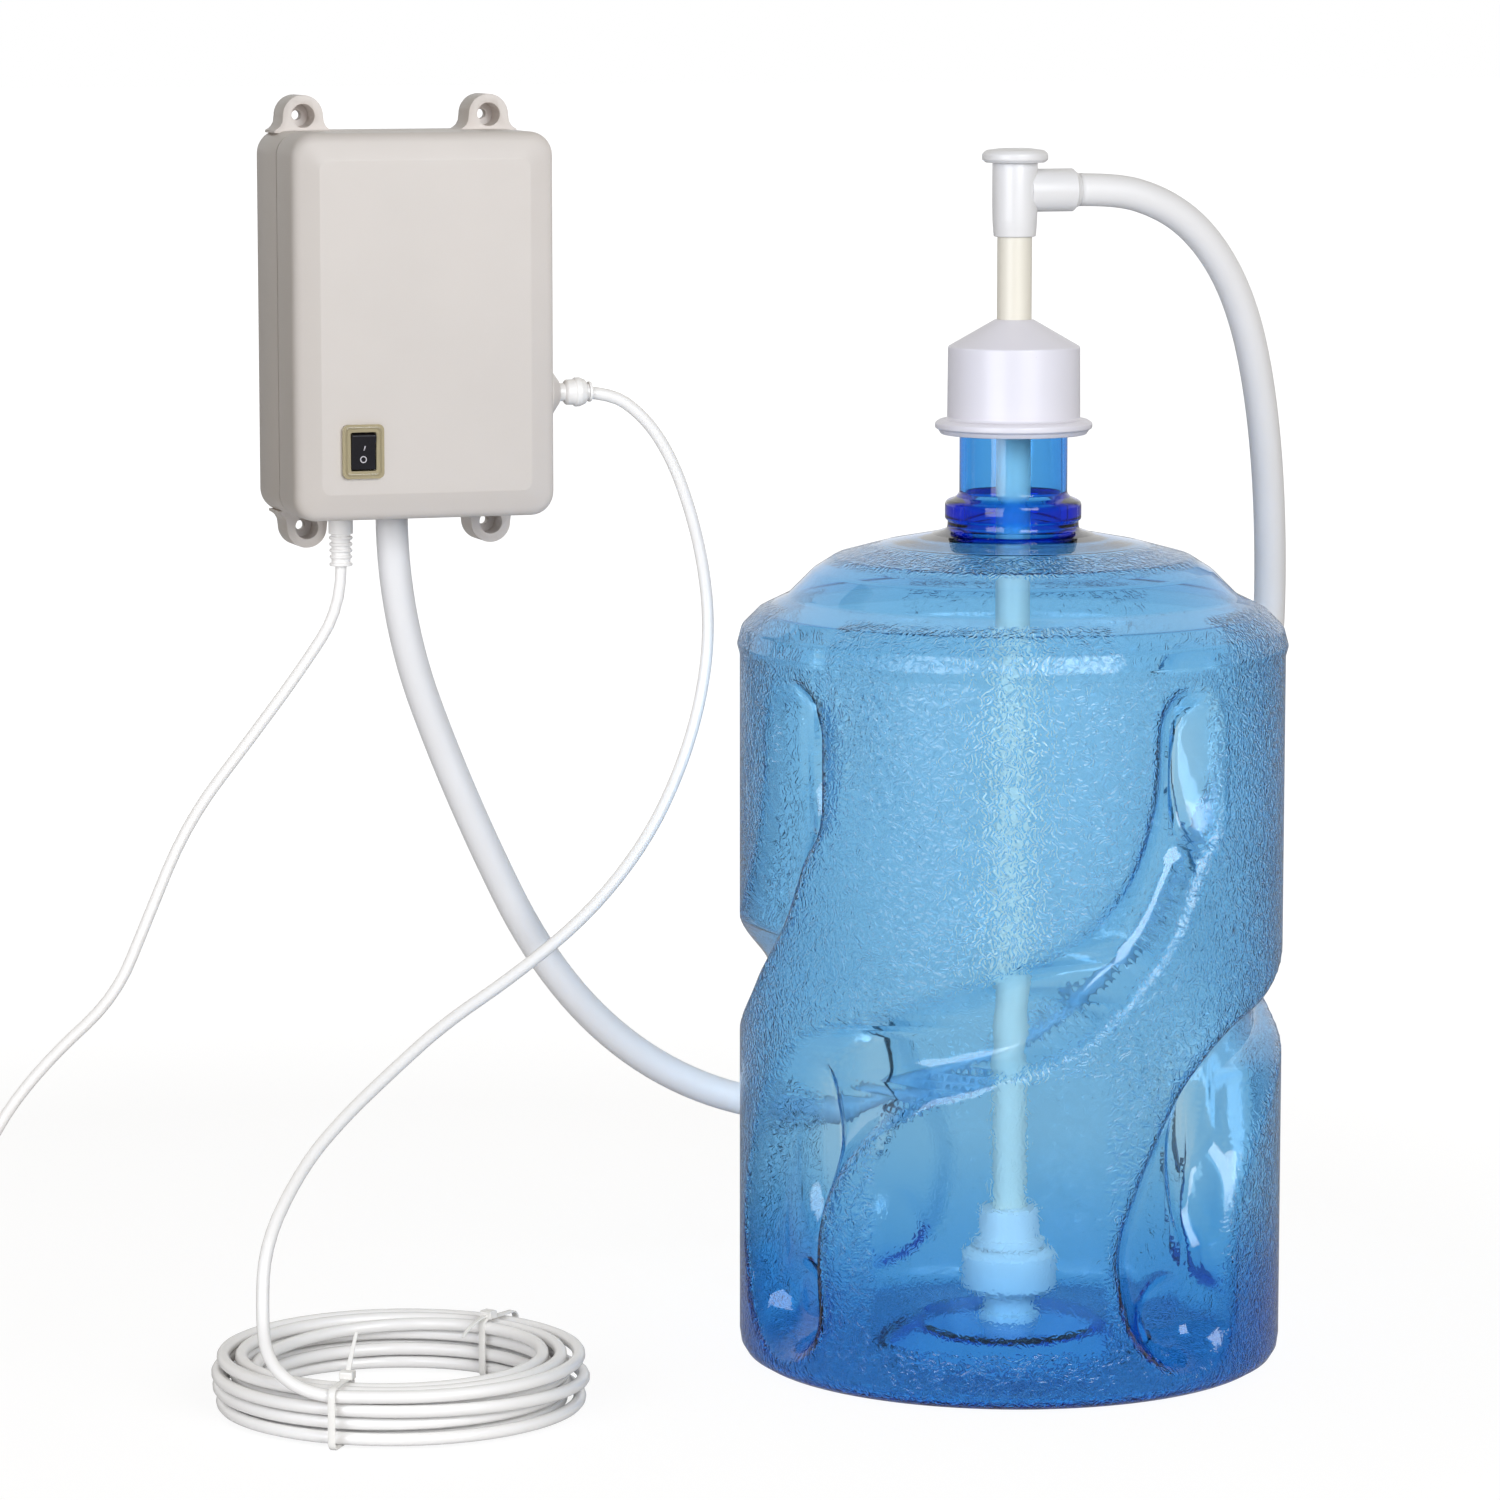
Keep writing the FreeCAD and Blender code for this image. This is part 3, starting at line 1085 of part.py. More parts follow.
def grip_channel(name, turn, wall):
    """A round tool along a grip's line that reaches into the side by the depth of the grip."""
    rounding = number(s.grip_round)
    away = number(s.bottle_radius - s.grip_depth) + rounding
    points = [beside_bottle(angle + turn, away, height) for angle, height in GRIP_LINE]
    up = FreeCAD.Vector(0, 0, 1)
    directions = [(after - before).normalize() for before, after in zip(points, points[2:])]
    directions = [up, *directions, up]
    edges = []
    for index in range(len(points) - 1):
        edges += biarc(points[index], directions[index], points[index + 1], directions[index + 1])
    top = beside_bottle(GRIP_LINE[-1][0] + turn, away, number(s.grip_end) + wall)
    edges.append(Part.LineSegment(points[-1], top).toShape())
    tool = doc.addObject("Part::Feature", name)
    tool.Shape = swept(Part.Wire(edges), rounding + wall, name)
    return tool


def grip_pocket(name, turn, wall):
    """An upright turned tool for the wide lower part of a grip, which fades out at both ends."""
    angle = math.radians(GRIP_POCKET_ANGLE + turn)
    away = s.bottle_radius - s.grip_pocket_depth + s.grip_pocket_round
    full = s.grip_pocket_round + wall
    end = full - s.grip_pocket_depth
    low, high = s.grip_start, s.grip_pocket_top
    corners = [(0, low - wall), (end, low - wall), (full, low + s.grip_pocket_foot),
               (full, high - s.grip_pocket_fade), (end, high + wall), (0, high + wall)]
    return turned(name, corners, (s.bottle_x + away * math.cos(angle),
                                  s.bottle_y + away * math.sin(angle), floor))


def gripped(name, blank, wall):
    """The blank with its four grips pressed in. Tools for the inside are larger by the wall."""
    channels = [grip_channel(f"{name}_channel_{count}", turn, number(wall))
                for count, turn in enumerate(GRIP_TURNS)]
    pockets = [grip_pocket(f"{name}_pocket_{count}", turn, wall) for count, turn in enumerate(GRIP_TURNS)]
    return cut(name, cut(name + "_channelled", blank, *channels), *pockets)


def bottle():
    """A hollow five-gallon bottle with a pushed-up base, grips, a stepped shoulder and a long neck."""
    wall = s.bottle_wall
    side, heel = s.bottle_radius, s.bottle_heel
    band, bulge = s.shoulder_height, s.shoulder_bulge
    ring, ring_low = s.neck_ring_radius, neck_start - s.neck_ring_height
    punt = s.punt_radius
    outside = [
        (0, s.punt_height), (punt - s.punt_height, s.punt_height), (punt, bulge),
        (punt + s.punt_height / 2, 0),
        (side - heel, 0), (side - heel * 0.45, heel * 0.12), (side - heel * 0.12, heel * 0.45),
        (side, heel), (side, band), (side + bulge, band + 2 * bulge),
    ]
    outside += [(side - inward, band + up) for inward, up in DOME]
    outside += [
        (ring + wall * 2, ring_low - wall), (ring, ring_low), (ring, neck_start - wall * 1.5),
        (s.neck_radius, neck_start), (s.neck_radius, bottle_height),
    ]
    outside.append((0, bottle_height))
    inside = [(0, bottle_height + OVERRUN), (s.neck_radius - wall, bottle_height + OVERRUN),
              (s.neck_radius - wall, ring_low - wall * 0.5)]
    inside += [(side - inward - wall * 0.6, band + up - wall * 0.8) for inward, up in reversed(DOME)]
    inside += [
        (side - wall, band), (side - wall, heel), (side - wall - heel * 0.12, heel * 0.45 + wall * 0.4),
        (side - heel * 0.45 - wall * 0.4, heel * 0.12 + wall), (side - heel, wall),
        (punt + s.punt_height / 2, wall), (punt, bulge + wall),
        (punt - s.punt_height, s.punt_height + wall), (0, s.punt_height + wall),
    ]
    blank = gripped("bottle_outside", turned("bottle_blank", outside, (*wand_axis, floor)), 0)
    room = gripped("bottle_inside", turned("bottle_room", inside, (*wand_axis, floor)), wall)
    node(cut("bottle_piece", blank, room), "water_bottle")


cap_bottom = bottle_height + s.cap_seal_thickness - s.cap_ledge


def bottle_cap():
    """The conical cap over the bottle mouth and the seal under the ledge inside it."""
    wall = s.cap_wall
    shoulder = s.cap_height - s.cap_cone
    inside = s.cap_radius - wall
    chamber = s.neck_radius - s.bottle_wall
    hole = s.wand_radius + s.fit_gap
    rim, rim_round = s.cap_rim_radius, s.cap_rim_height / 4
    node(turned("cap_piece", [
        (inside, 0), (rim - rim_round, 0), (rim, rim_round), (rim, s.cap_rim_height - rim_round),
        (rim - rim_round, s.cap_rim_height), (s.cap_radius, s.cap_rim_height),
        (s.cap_radius, shoulder - wall / 2), (s.cap_radius - wall / 2, shoulder), (hole, s.cap_height),
        (hole, shoulder - wall / 2), (chamber, shoulder - wall / 2), (chamber, s.cap_ledge),
        (inside, s.cap_ledge),
    ], (*wand_axis, floor + cap_bottom)), "bottle_cap")
    node(turned("cap_seal_piece", [
        (chamber, 0), (inside, 0), (inside, s.cap_seal_thickness), (chamber, s.cap_seal_thickness),
    ], (*wand_axis, floor + bottle_height)), "cap_seal")


foot_bottom = s.punt_height + s.bottle_wall + 0.2
strainer_top = foot_bottom + s.foot_flange_height + s.strainer_height
chamber_top = strainer_top + s.chamber_height
ring_top = chamber_top + s.foot_ring_height
sleeve_top = ring_top + s.sleeve_height


def wand():
    """The long suction tube, its tee head and the round top of the head."""
    bottom = sleeve_top - s.socket_depth
    length = tee_bottom + s.tee_socket - bottom
    node(turned("wand_tube_piece", [
        (s.wand_bore, 0), (s.wand_radius, 0), (s.wand_radius, length), (s.wand_bore, length),
    ], (*wand_axis, floor + bottom)), "wand_tube")

    body = rod("tee_body", s.tee_radius, s.tee_height, (*wand_axis, floor + tee_bottom))
    arm = turned("tee_arm", [
        (0, 0), (s.arm_radius, 0), (s.arm_radius, s.arm_reach - s.arm_chamfer),
        (s.arm_radius - s.arm_chamfer, s.arm_reach), (0, s.arm_reach),
    ], (*wand_axis, floor + tee_bottom + s.arm_centre), "x")
    socket = rod("tee_socket", s.wand_radius, s.tee_socket + OVERRUN,
                 (*wand_axis, floor + tee_bottom - OVERRUN))
    way = rod("tee_way", s.wand_bore, s.tee_height + 2 * OVERRUN, (*wand_axis, floor + tee_bottom - OVERRUN))
    side_way = rod("tee_side_way", s.arm_bore, s.arm_reach + OVERRUN,
                   (*wand_axis, floor + tee_bottom + s.arm_centre), "x")
    node(cut("tee_piece", fuse("tee_blank", body, arm), socket, way, side_way), "tee_head")
    node(turned("tee_plug_piece", [
        (0, -8), (s.plug_stem_radius, -8), (s.plug_stem_radius, 0), (s.plug_radius - 1, 0),
        (s.plug_radius, 1.5), (s.plug_radius, s.plug_height - 2.5), (s.plug_radius - 3, s.plug_height - 0.8),
        (s.plug_radius - 9, s.plug_height), (0, s.plug_height),
    ], (*wand_axis, floor + tee_bottom + s.tee_height)), "tee_plug")


def wand_foot():
    """Sleeve, float chamber, float, stem, strainer and check ball at the lower end of the wand."""
    node(turned("sleeve_piece", [
        (s.stem_bore, 0), (s.foot_ring_radius, 0), (s.foot_ring_radius, s.foot_ring_height),
        (s.sleeve_radius, s.foot_ring_height), (s.sleeve_radius, s.foot_ring_height + s.sleeve_height),
        (s.wand_radius, s.foot_ring_height + s.sleeve_height),
        (s.wand_radius, s.foot_ring_height + s.sleeve_height - s.socket_depth),
        (s.stem_bore, s.foot_ring_height + s.sleeve_height - s.socket_depth),
    ], (*wand_axis, floor + chamber_top)), "foot_sleeve")

    outer, wall, height = s.chamber_radius, s.chamber_wall, s.chamber_height
    shell = turned("chamber_shell", [
        (s.stem_radius, 0), (outer - 1, 0), (outer, 1), (outer, height - 3), (outer - 3, height),
        (s.stem_radius, height), (s.stem_radius, height - wall), (outer - 3, height - wall),
        (outer - wall, height - 3.5), (outer - wall, wall), (s.stem_radius, wall),
    ], (*wand_axis, floor + strainer_top))
    slots = []
    for count in range(4):
        turn = FreeCAD.Rotation(FreeCAD.Vector(0, 0, 1), 45 + 90 * count)
        slot = block(f"chamber_slot_{count}", (0, 0, 0), 5, 3, wall + 2 * OVERRUN)
        reach = turn.multVec(FreeCAD.Vector(14, -1.5, 0))
        put(slot, (s.bottle_x + reach.x, s.bottle_y + reach.y, floor + strainer_top - OVERRUN), turn)
        slots.append(slot)
    node(cut("chamber_piece", shell, *slots), "float_chamber")

    node(turned("stem_piece", [
        (s.stem_bore, 0), (s.stem_radius, 0), (s.stem_radius, height), (s.stem_bore, height),
    ], (*wand_axis, floor + strainer_top)), "reed_stem")
    inner = s.stem_radius + 0.8
    node(turned("float_piece", [
        (inner, 0), (s.float_radius, 0, 1), (s.float_radius, s.float_height, 1), (inner, s.float_height),
    ], (*wand_axis, floor + strainer_top + wall + 0.6)), "float_ring")

    flange, body = s.foot_flange_height, s.foot_flange_height + s.strainer_height
    seat = flange + 2
    blank = turned("strainer_blank", [
        (s.seat_radius, 2.5), (s.strainer_bore, 2.5), (s.strainer_bore, 0), (s.foot_flange_radius, 0),
        (s.foot_flange_radius, flange), (s.strainer_radius, flange), (s.strainer_radius, body),
        (s.strainer_bore - 1, body), (s.strainer_bore - 1, seat + 2.2), (s.seat_radius, seat),
    ], (*wand_axis, floor + foot_bottom))
    gates = []
    for count in range(4):
        turn = FreeCAD.Rotation(FreeCAD.Vector(0, 0, 1), 90 * count)
        gate = block(f"strainer_gate_{count}", (0, 0, 0), 12, 5, 3)
        reach = turn.multVec(FreeCAD.Vector(6.5, -2.5, 0))
        put(gate, (s.bottle_x + reach.x, s.bottle_y + reach.y, floor + foot_bottom - 1), turn)
        gates.append(gate)
    node(cut("strainer_piece", blank, *gates), "foot_strainer")

    rise = math.sqrt(number(s.ball_radius) ** 2 - number(s.seat_radius) ** 2)
    ball = doc.addObject("Part::Sphere", "ball_piece")
    bind(ball, Radius=s.ball_radius)
    put(ball, (*wand_axis, floor + foot_bottom + seat + rise + 0.25))
    node(ball, "check_ball")


# Tubes: straight runs joined by arcs, and wound coils of biarcs.


def led(route, start, end):
    """The route with its ends moved to what they join: each point goes along by its share."""
    points = [FreeCAD.Vector(*point) for point in route]
    shift_start, shift_end = start - points[0], end - points[-1]
    last = len(points) - 1
    return [point + shift_start * (1 - index / last) + shift_end * (index / last)
            for index, point in enumerate(points)]


def route_wire(points, label):
    """Each arc is as large as its two runs allow: it starts 0.45 of the shorter run from its corner."""
    edges = []
    radii = []
    start = points[0]
    for before, corner, after in zip(points, points[1:], points[2:]):
        into, out = corner - before, after - corner
        trim = 0.45 * min(into.Length, out.Length)
        into.normalize()
        out.normalize()
        half = into.getAngle(out) / 2
        radius = trim / math.tan(half)
        first, last = corner - into * trim, corner + out * trim
        inward = (out - into).normalize()
        middle = corner + inward * (radius / math.cos(half) - radius)
        edges.append(Part.LineSegment(start, first).toShape())
        edges.append(Part.Arc(first, middle, last).toShape())
        radii.append(radius)
        start = last
    edges.append(Part.LineSegment(start, points[-1]).toShape())
    wire = Part.Wire(edges)
    print(f"{label}: length {wire.Length:.0f}, radii", " ".join(f"{radius:.0f}" for radius in radii))
    return wire


def swept(wire, radius, label):
    """A solid round tube along a wire, with its volume held against its section times its length."""
    start = wire.OrderedVertexes[0].Point
    first = wire.OrderedEdges[0]
    tangent = first.tangentAt(first.FirstParameter)
    if (first.valueAt(first.FirstParameter) - start).Length > 1e-6:
        tangent = first.tangentAt(first.LastParameter) * -1
    profile = Part.Wire(Part.Circle(start, tangent, radius).toShape())
    solid = wire.makePipeShell([profile], True, False)
    expected = math.pi * radius ** 2 * wire.Length
    print(f"{label}: volume {solid.Volume:.0f}, section times length {expected:.0f}")
    return solid


def feature(name, shape, label):
    piece = doc.addObject("Part::Feature", name)
    piece.Shape = shape
    return node(piece, label)


def biarc(p0, t0, p1, t1):
    """Two arcs in space that join two points with given directions."""
    chord = p1 - p0
    total = t0 + t1
    spread = 2 * (1 - t0.dot(t1))
    along = chord.dot(total)
    if spread < 1e-9:
        reach = chord.dot(chord) / (4 * chord.dot(t1))
    else:
        reach = (-along + math.sqrt(along ** 2 + spread * chord.dot(chord))) / spread
    joint = (p0 + p1 + (t0 - t1) * reach) * 0.5
    return [arc_between(p0, p0 + t0 * reach, joint), arc_between(joint, p1 - t1 * reach, p1)]


def arc_between(start, corner, end):
    """The arc that leaves start towards the corner and arrives at end from it."""
    middle = (start + end) * 0.5
    half_chord = (end - start).Length / 2
    lift = corner - middle
    turn = math.atan2(lift.Length, half_chord)
    sagitta = half_chord * math.tan(turn / 2)
    return Part.Arc(start, middle + lift.normalize() * sagitta, end).toShape()


def smooth(fraction):
    fraction = max(0.0, min(1.0, fraction))
    return fraction * fraction * (3 - 2 * fraction)


def coil_point(turns, spec):
    """A point of a piled coil after so many turns: it spirals in and out, one layer at a time."""
    per_layer = spec["per_layer"]
    layer = min(int(turns / per_layer + 1e-9), spec["layers"] - 1)
    within = turns - layer * per_layer
    inward = within if layer % 2 == 0 else per_layer - within
    angle = math.radians(spec["start"]) + 2 * math.pi * turns
    away = (1 - math.cos(2 * (angle - math.radians(spec["tied"])))) / 2
    radius = spec["outer"] + spec["bulge"] * away - spec["pitch"] * (1 + spec["fan"] * away) * inward
    climb = 0.0
    for change in range(1, spec["layers"]):
        climb += smooth((turns - change * per_layer + 0.25) / 0.5)
    height = spec["top"] - spec["layer"] * climb
    return FreeCAD.Vector(spec["x"] + radius * math.cos(angle), spec["y"] + radius * math.sin(angle), height)


def coil_wire(spec):
    """Biarcs of a quarter turn through the coil's points, with straight ends."""
    quarters = int(round(spec["per_layer"] * spec["layers"] * 4))
    step = 1e-4

    def direction(turns):
        return (coil_point(turns + step, spec) - coil_point(turns - step, spec)).normalize()

    stations = [index / 4 for index in range(quarters + 1)]
    points = [coil_point(turns, spec) for turns in stations]
    directions = [direction(turns) for turns in stations]
    edges = [Part.LineSegment(points[0] - directions[0] * spec["diameter"], points[0]).toShape()]
    for index in range(quarters):
        edges += biarc(points[index], directions[index], points[index + 1], directions[index + 1])
    last = points[-1]
    edges.append(Part.LineSegment(last, last + directions[-1] * spec["tail"]).toShape())
    return Part.Wire(edges)


def least_gap(wire, diameter, label):
    """The least distance between turns, measured on points along the wire, less one diameter."""
    step = 3.0
    points = wire.discretize(Number=int(wire.Length / step))
    apart = int(6 * diameter / step) + 1
    least = 1e9
    for index, here in enumerate(points):
        for other in points[index + apart:]:
            if abs(other.z - here.z) < 2 * diameter:
                least = min(least, (other - here).Length)
    print(f"{label}: length {wire.Length:.0f}, least gap {least - diameter:.2f}")


def coil_spec(kind):
    diameter = number(s.tube_diameter if kind == "tube" else s.lead_diameter)
    lift = number(s.tie_thickness) + 0.1
    if kind == "tube":
        layers, per_layer, pitch, layer = COIL_LAYERS, COIL_TURNS_PER_LAYER, s.coil_pitch, s.coil_layer
        x, y, outer, start = s.coil_x, s.coil_y, s.coil_outer, COIL_START_ANGLE
        tied, fan, bulge = TIE_ANGLES["tube_tie_front"], COIL_FAN, number(s.coil_bulge)
        tail = diameter
    else:
        layers, per_layer = LEAD_LAYERS, LEAD_TURNS_PER_LAYER
        pitch, layer = s.lead_coil_pitch, s.lead_coil_layer
        x, y, outer, start = s.lead_coil_x, s.lead_coil_y, s.lead_coil_outer, LEAD_START_ANGLE
        tied, fan, bulge = TIE_ANGLES["cord_tie"], 0, 0
        tail = number(s.lead_tail)
    top = number(floor) + lift + diameter / 2 + (layers - 1) * number(layer)
    return {"layers": layers, "per_layer": per_layer, "pitch": number(pitch), "layer": number(layer),
            "x": number(x), "y": number(y), "outer": number(outer), "start": start, "tied": tied,
            "fan": fan, "bulge": bulge, "top": top, "diameter": diameter, "tail": tail}


def coils():
    """The two wound coils. Returns where each one starts, with its straight end."""
    starts = {}
    for kind, label in (("tube", "outlet_tube_coil"), ("lead", "power_cord_coil")):
        spec = coil_spec(kind)
        wire = coil_wire(spec)
        least_gap(wire, spec["diameter"], label)
        starts[kind] = wire.OrderedVertexes[0].Point
        last = wire.OrderedVertexes[-1].Point
        for word, point in (("starts", starts[kind]), ("ends", last)):
            print(label, word, "at", [round(value, 1) for value in point])
        feature(label + "_piece", swept(wire, spec["diameter"] / 2, label), label)
    return starts


def free_runs(coil_starts):
    """The hose, the tube and the lead where they hang or lie free, from end to end."""
    arm_end = vector(s.bottle_x + s.arm_reach, s.bottle_y, floor + tee_bottom + s.arm_centre)
    runs = (
        ("suction_hose", SUCTION_ROUTE, s.hose_diameter, vector(suction_x, s.port_y, -half_height), arm_end),
        ("outlet_tube", OUTLET_ROUTE, s.tube_diameter, vector(tube_stop, s.outlet_y, outlet_z),
         coil_starts["tube"]),
        ("power_cord", LEAD_ROUTE, s.lead_diameter, vector(lead_x, s.port_y, -half_height - s.relief_length),
         coil_starts["lead"]),
    )
    for label, route, diameter, start, end in runs:
        wire = route_wire(led(route, start, end), label)
        feature(label + "_piece", swept(wire, number(diameter) / 2, label), label)


def tie(label, kind, head_size):
    """A strap round all the strands of a coil, with its head on top and a short tail."""
    spec = coil_spec(kind)
    angle = TIE_ANGLES[label]
    turns = ((angle - spec["start"]) % 360) / 360
    if turns > 0.95:
        turns -= 1
    distances = []
    while turns <= spec["per_layer"] * spec["layers"]:
        place = coil_point(turns, spec)
        distances.append(math.hypot(place.x - spec["x"], place.y - spec["y"]))
        turns += 1
    thickness, width = number(s.tie_thickness), number(s.tie_width)
    clear = spec["diameter"] / 2 + 0.1
    near = min(distances) - clear - number(s.tie_inner_slack)
    far = max(distances) + clear + number(s.tie_outer_slack)
    low = number(floor) + thickness + 0.05
    high = spec["top"] + clear + number(s.tie_top_slack)
    outer = Part.makeBox(far - near + 2 * thickness, width, high - low + 2 * thickness,
                         FreeCAD.Vector(near - thickness, -width / 2, low - thickness))
    room = Part.makeBox(far - near, width + 2 * OVERRUN, high - low,
                        FreeCAD.Vector(near, -width / 2 - OVERRUN, low))
    head_x = near + number(s.tie_head_in)
    head = Part.makeBox(head_size, head_size + 1, head_size - 1,
                        FreeCAD.Vector(head_x, -(head_size + 1) / 2, high))
    tail = Part.makeBox(number(s.tie_tail), width - 0.8, thickness, FreeCAD.Vector(0, -width / 2 + 0.4, 0))
    tail.rotate(FreeCAD.Vector(), FreeCAD.Vector(0, 1, 0), 180 + TIE_TAIL_RISE)
    tail.translate(FreeCAD.Vector(head_x + head_size / 2, 0, high + 2))
    strap = outer.cut(room).fuse([head, tail]).removeSplitter()
    strap.rotate(FreeCAD.Vector(), FreeCAD.Vector(0, 0, 1), angle)
    strap.translate(FreeCAD.Vector(spec["x"], spec["y"], 0))
    feature(label + "_strap", strap, label)


def mains_plug():
    """The moulded plug at the end of the coiled lead, lying flat, and its two blades."""
    start_x = s.lead_coil_x - s.lead_tail - s.fit_gap
    drift = s.lead_tail * s.lead_coil_pitch / (math.tau * s.lead_coil_outer)
    axis_y = s.lead_coil_y + s.lead_coil_outer + drift
    lead_z = floor + s.tie_thickness + 0.1 + s.lead_diameter / 2
    middle_z = floor + s.plug_thickness / 2 + 0.3
    neck = doc.addObject("Part::Cone", "plug_neck_cone")
    bind(neck, Radius1=s.lead_diameter / 2 + 1.2, Radius2=s.lead_diameter / 2 + 1.3, Height=s.plug_neck)
    put(neck, (start_x, axis_y, lead_z), "-x")
    body = slab("plug_block", s.plug_thickness, s.plug_width, 4, s.plug_length - s.plug_neck,
                (start_x - s.plug_neck, axis_y, middle_z), "-x")
    node(fuse("plug_piece", body, neck), "plug_body")
    tip = start_x - s.plug_length
    blades = []
    for side in (1, -1):
        y = axis_y + side * s.blade_spacing / 2
        blades.append(block(f"blade_{side}", (tip - s.blade_length, y - s.blade_thickness / 2,
                                              middle_z - s.blade_width / 2),
                            s.blade_length, s.blade_thickness, s.blade_width))
    node(group("blade_pair", *blades), "plug_blades")


back_shell()
gasket()
front_cover()
cover_screws()
switch()
rocker()
motor()
rotor()
wobble_drive()
pump()
pump_support()
inner_hoses()
pressure_switch()
electrics()
outlet_fitting()
suction_gland()
strain_relief()
bottle()
bottle_cap()
wand()
wand_foot()
free_runs(coils())
tie("tube_tie_front", "tube", 6)
tie("tube_tie_back", "tube", 6)
tie("cord_tie", "lead", 5)
mains_plug()
doc.recompute()

for item in doc.Objects:
    if "Invalid" in item.State or "Error" in item.State:
        raise RuntimeError(f"{item.Name}: {item.State}")
os.makedirs("parts", exist_ok=True)
for piece in FILE_NODES:
    shape = piece.Shape
    if shape.isNull() or not shape.isValid() or not shape.Solids:
        raise RuntimeError(f"{piece.Label}: no valid solid")
    shape.exportStep(f"parts/{piece.Label}.step")
    print(piece.Label, len(shape.Solids), round(shape.Volume))
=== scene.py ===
# %% [markdown]
# # A bottled water pump system
#
# A small pump hangs on the wall in a beige plastic case. A hose leads from it to a wand that
# stands in a blue five-gallon bottle, a thin tube carries the water away and ends in a loose coil
# on the floor, and a mains lead feeds the pump. The engineering model is already there: this
# lesson dresses it, one piece at a time, so that it looks like the real thing.
#
# Everything is in metres. The origin is the centre of the four wall-screw holes, +X is right,
# +Z is up and the wall is the plane y = 0, with the pump in front of it, towards -Y.

# %% Tools and the engineering model
import math

import bmesh
import bpy
from mathutils import Matrix, Vector


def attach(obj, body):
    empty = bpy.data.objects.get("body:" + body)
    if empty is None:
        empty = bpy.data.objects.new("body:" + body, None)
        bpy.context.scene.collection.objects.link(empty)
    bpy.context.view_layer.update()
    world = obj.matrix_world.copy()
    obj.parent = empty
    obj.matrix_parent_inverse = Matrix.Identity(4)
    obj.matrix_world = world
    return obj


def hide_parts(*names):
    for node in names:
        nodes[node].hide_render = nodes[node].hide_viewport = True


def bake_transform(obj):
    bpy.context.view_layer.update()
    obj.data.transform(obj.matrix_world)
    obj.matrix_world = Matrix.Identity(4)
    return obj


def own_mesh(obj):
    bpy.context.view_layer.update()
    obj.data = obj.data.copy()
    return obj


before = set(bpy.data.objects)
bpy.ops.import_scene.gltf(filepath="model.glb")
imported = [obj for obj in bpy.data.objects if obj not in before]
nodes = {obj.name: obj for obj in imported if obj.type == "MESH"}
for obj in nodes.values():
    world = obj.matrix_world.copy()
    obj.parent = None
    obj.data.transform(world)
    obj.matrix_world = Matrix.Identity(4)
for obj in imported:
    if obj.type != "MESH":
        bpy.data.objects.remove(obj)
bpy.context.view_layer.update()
print("nodes of the model:", len(nodes))

# %% [markdown]
# ## Units, colours and nodes
#
# Sizes are written in millimetres and scaled once. Colours are sRGB hex values, as a paint chart
# gives them, and one function turns them into the linear numbers that the renderer works with.
# A material is a small network of nodes. Each helper below adds one node and gives back its
# output, so that a network reads like a sum.

# %% Units, colours and nodes
MM = 0.001
FLOOR = -525 * MM
WHITE = (1, 1, 1, 1)


def linear(hex_colour):
    """Linear red, green, blue and alpha of an sRGB hex colour."""
    parts = [int(hex_colour[i:i + 2], 16) / 255 for i in (1, 3, 5)]
    return tuple(c / 12.92 if c <= 0.04045 else ((c + 0.055) / 1.055) ** 2.4 for c in parts) + (1,)


def add_node(tree, kind, given=(), output=0):
    """Add a node and return one of its outputs.

    What is given sets the node itself, sets an input, or links an input to another node's output.
    """
    made = tree.nodes.new(kind)
    for key, value in dict(given).items():
        if isinstance(value, bpy.types.NodeSocket):
            tree.links.new(value, made.inputs[key])
        elif isinstance(key, int) or key in made.inputs:
            made.inputs[key].default_value = value
        else:
            setattr(made, key, value)
    return made.outputs[output] if made.outputs else None


def maths(tree, operation, first, second=0, clamp=False):
    return add_node(tree, "ShaderNodeMath",
                    {"operation": operation, "use_clamp": clamp, 0: first, 1: second})


def map_range(tree, value, low, high, start=0, end=1, curve="LINEAR"):
    """A value between start and end, brought to between low and high."""
    return add_node(tree, "ShaderNodeMapRange", {
        "interpolation_type": curve, "Value": value,
        "From Min": start, "From Max": end, "To Min": low, "To Max": high})


def mix_colours(tree, share, first, second):
    return add_node(tree, "ShaderNodeMix",
                    {"data_type": "RGBA", 0: share, 6: first, 7: second}, 2)


def new_material(name):
    """A material and its node tree, still empty."""
    material = bpy.data.materials.new(name)
    material.use_nodes = True
    material.node_tree.nodes.clear()
    return material, material.node_tree


def add_object(name, data):
    made = bpy.data.objects.new(name, data)
    bpy.context.scene.collection.objects.link(made)
    return made


print("beige in linear light:", [round(c, 3) for c in linear("#DEDAD5")])

# %% [markdown]
# ## Camera, light and floor
#
# The photograph was taken from the left and a little above, with a long lens: the bottle is seen
# only just wider at the front than at the back. The light is a bright white studio: the sky gives
# most of it, and two wide soft lamps shade the case and the bottle gently. What lies behind the
# camera is dimmer, and the gloss of the bottle shows it.

# %% The camera
VIEW_AZIMUTH = math.radians(-18.5)
VIEW_ELEVATION = math.radians(7.5)

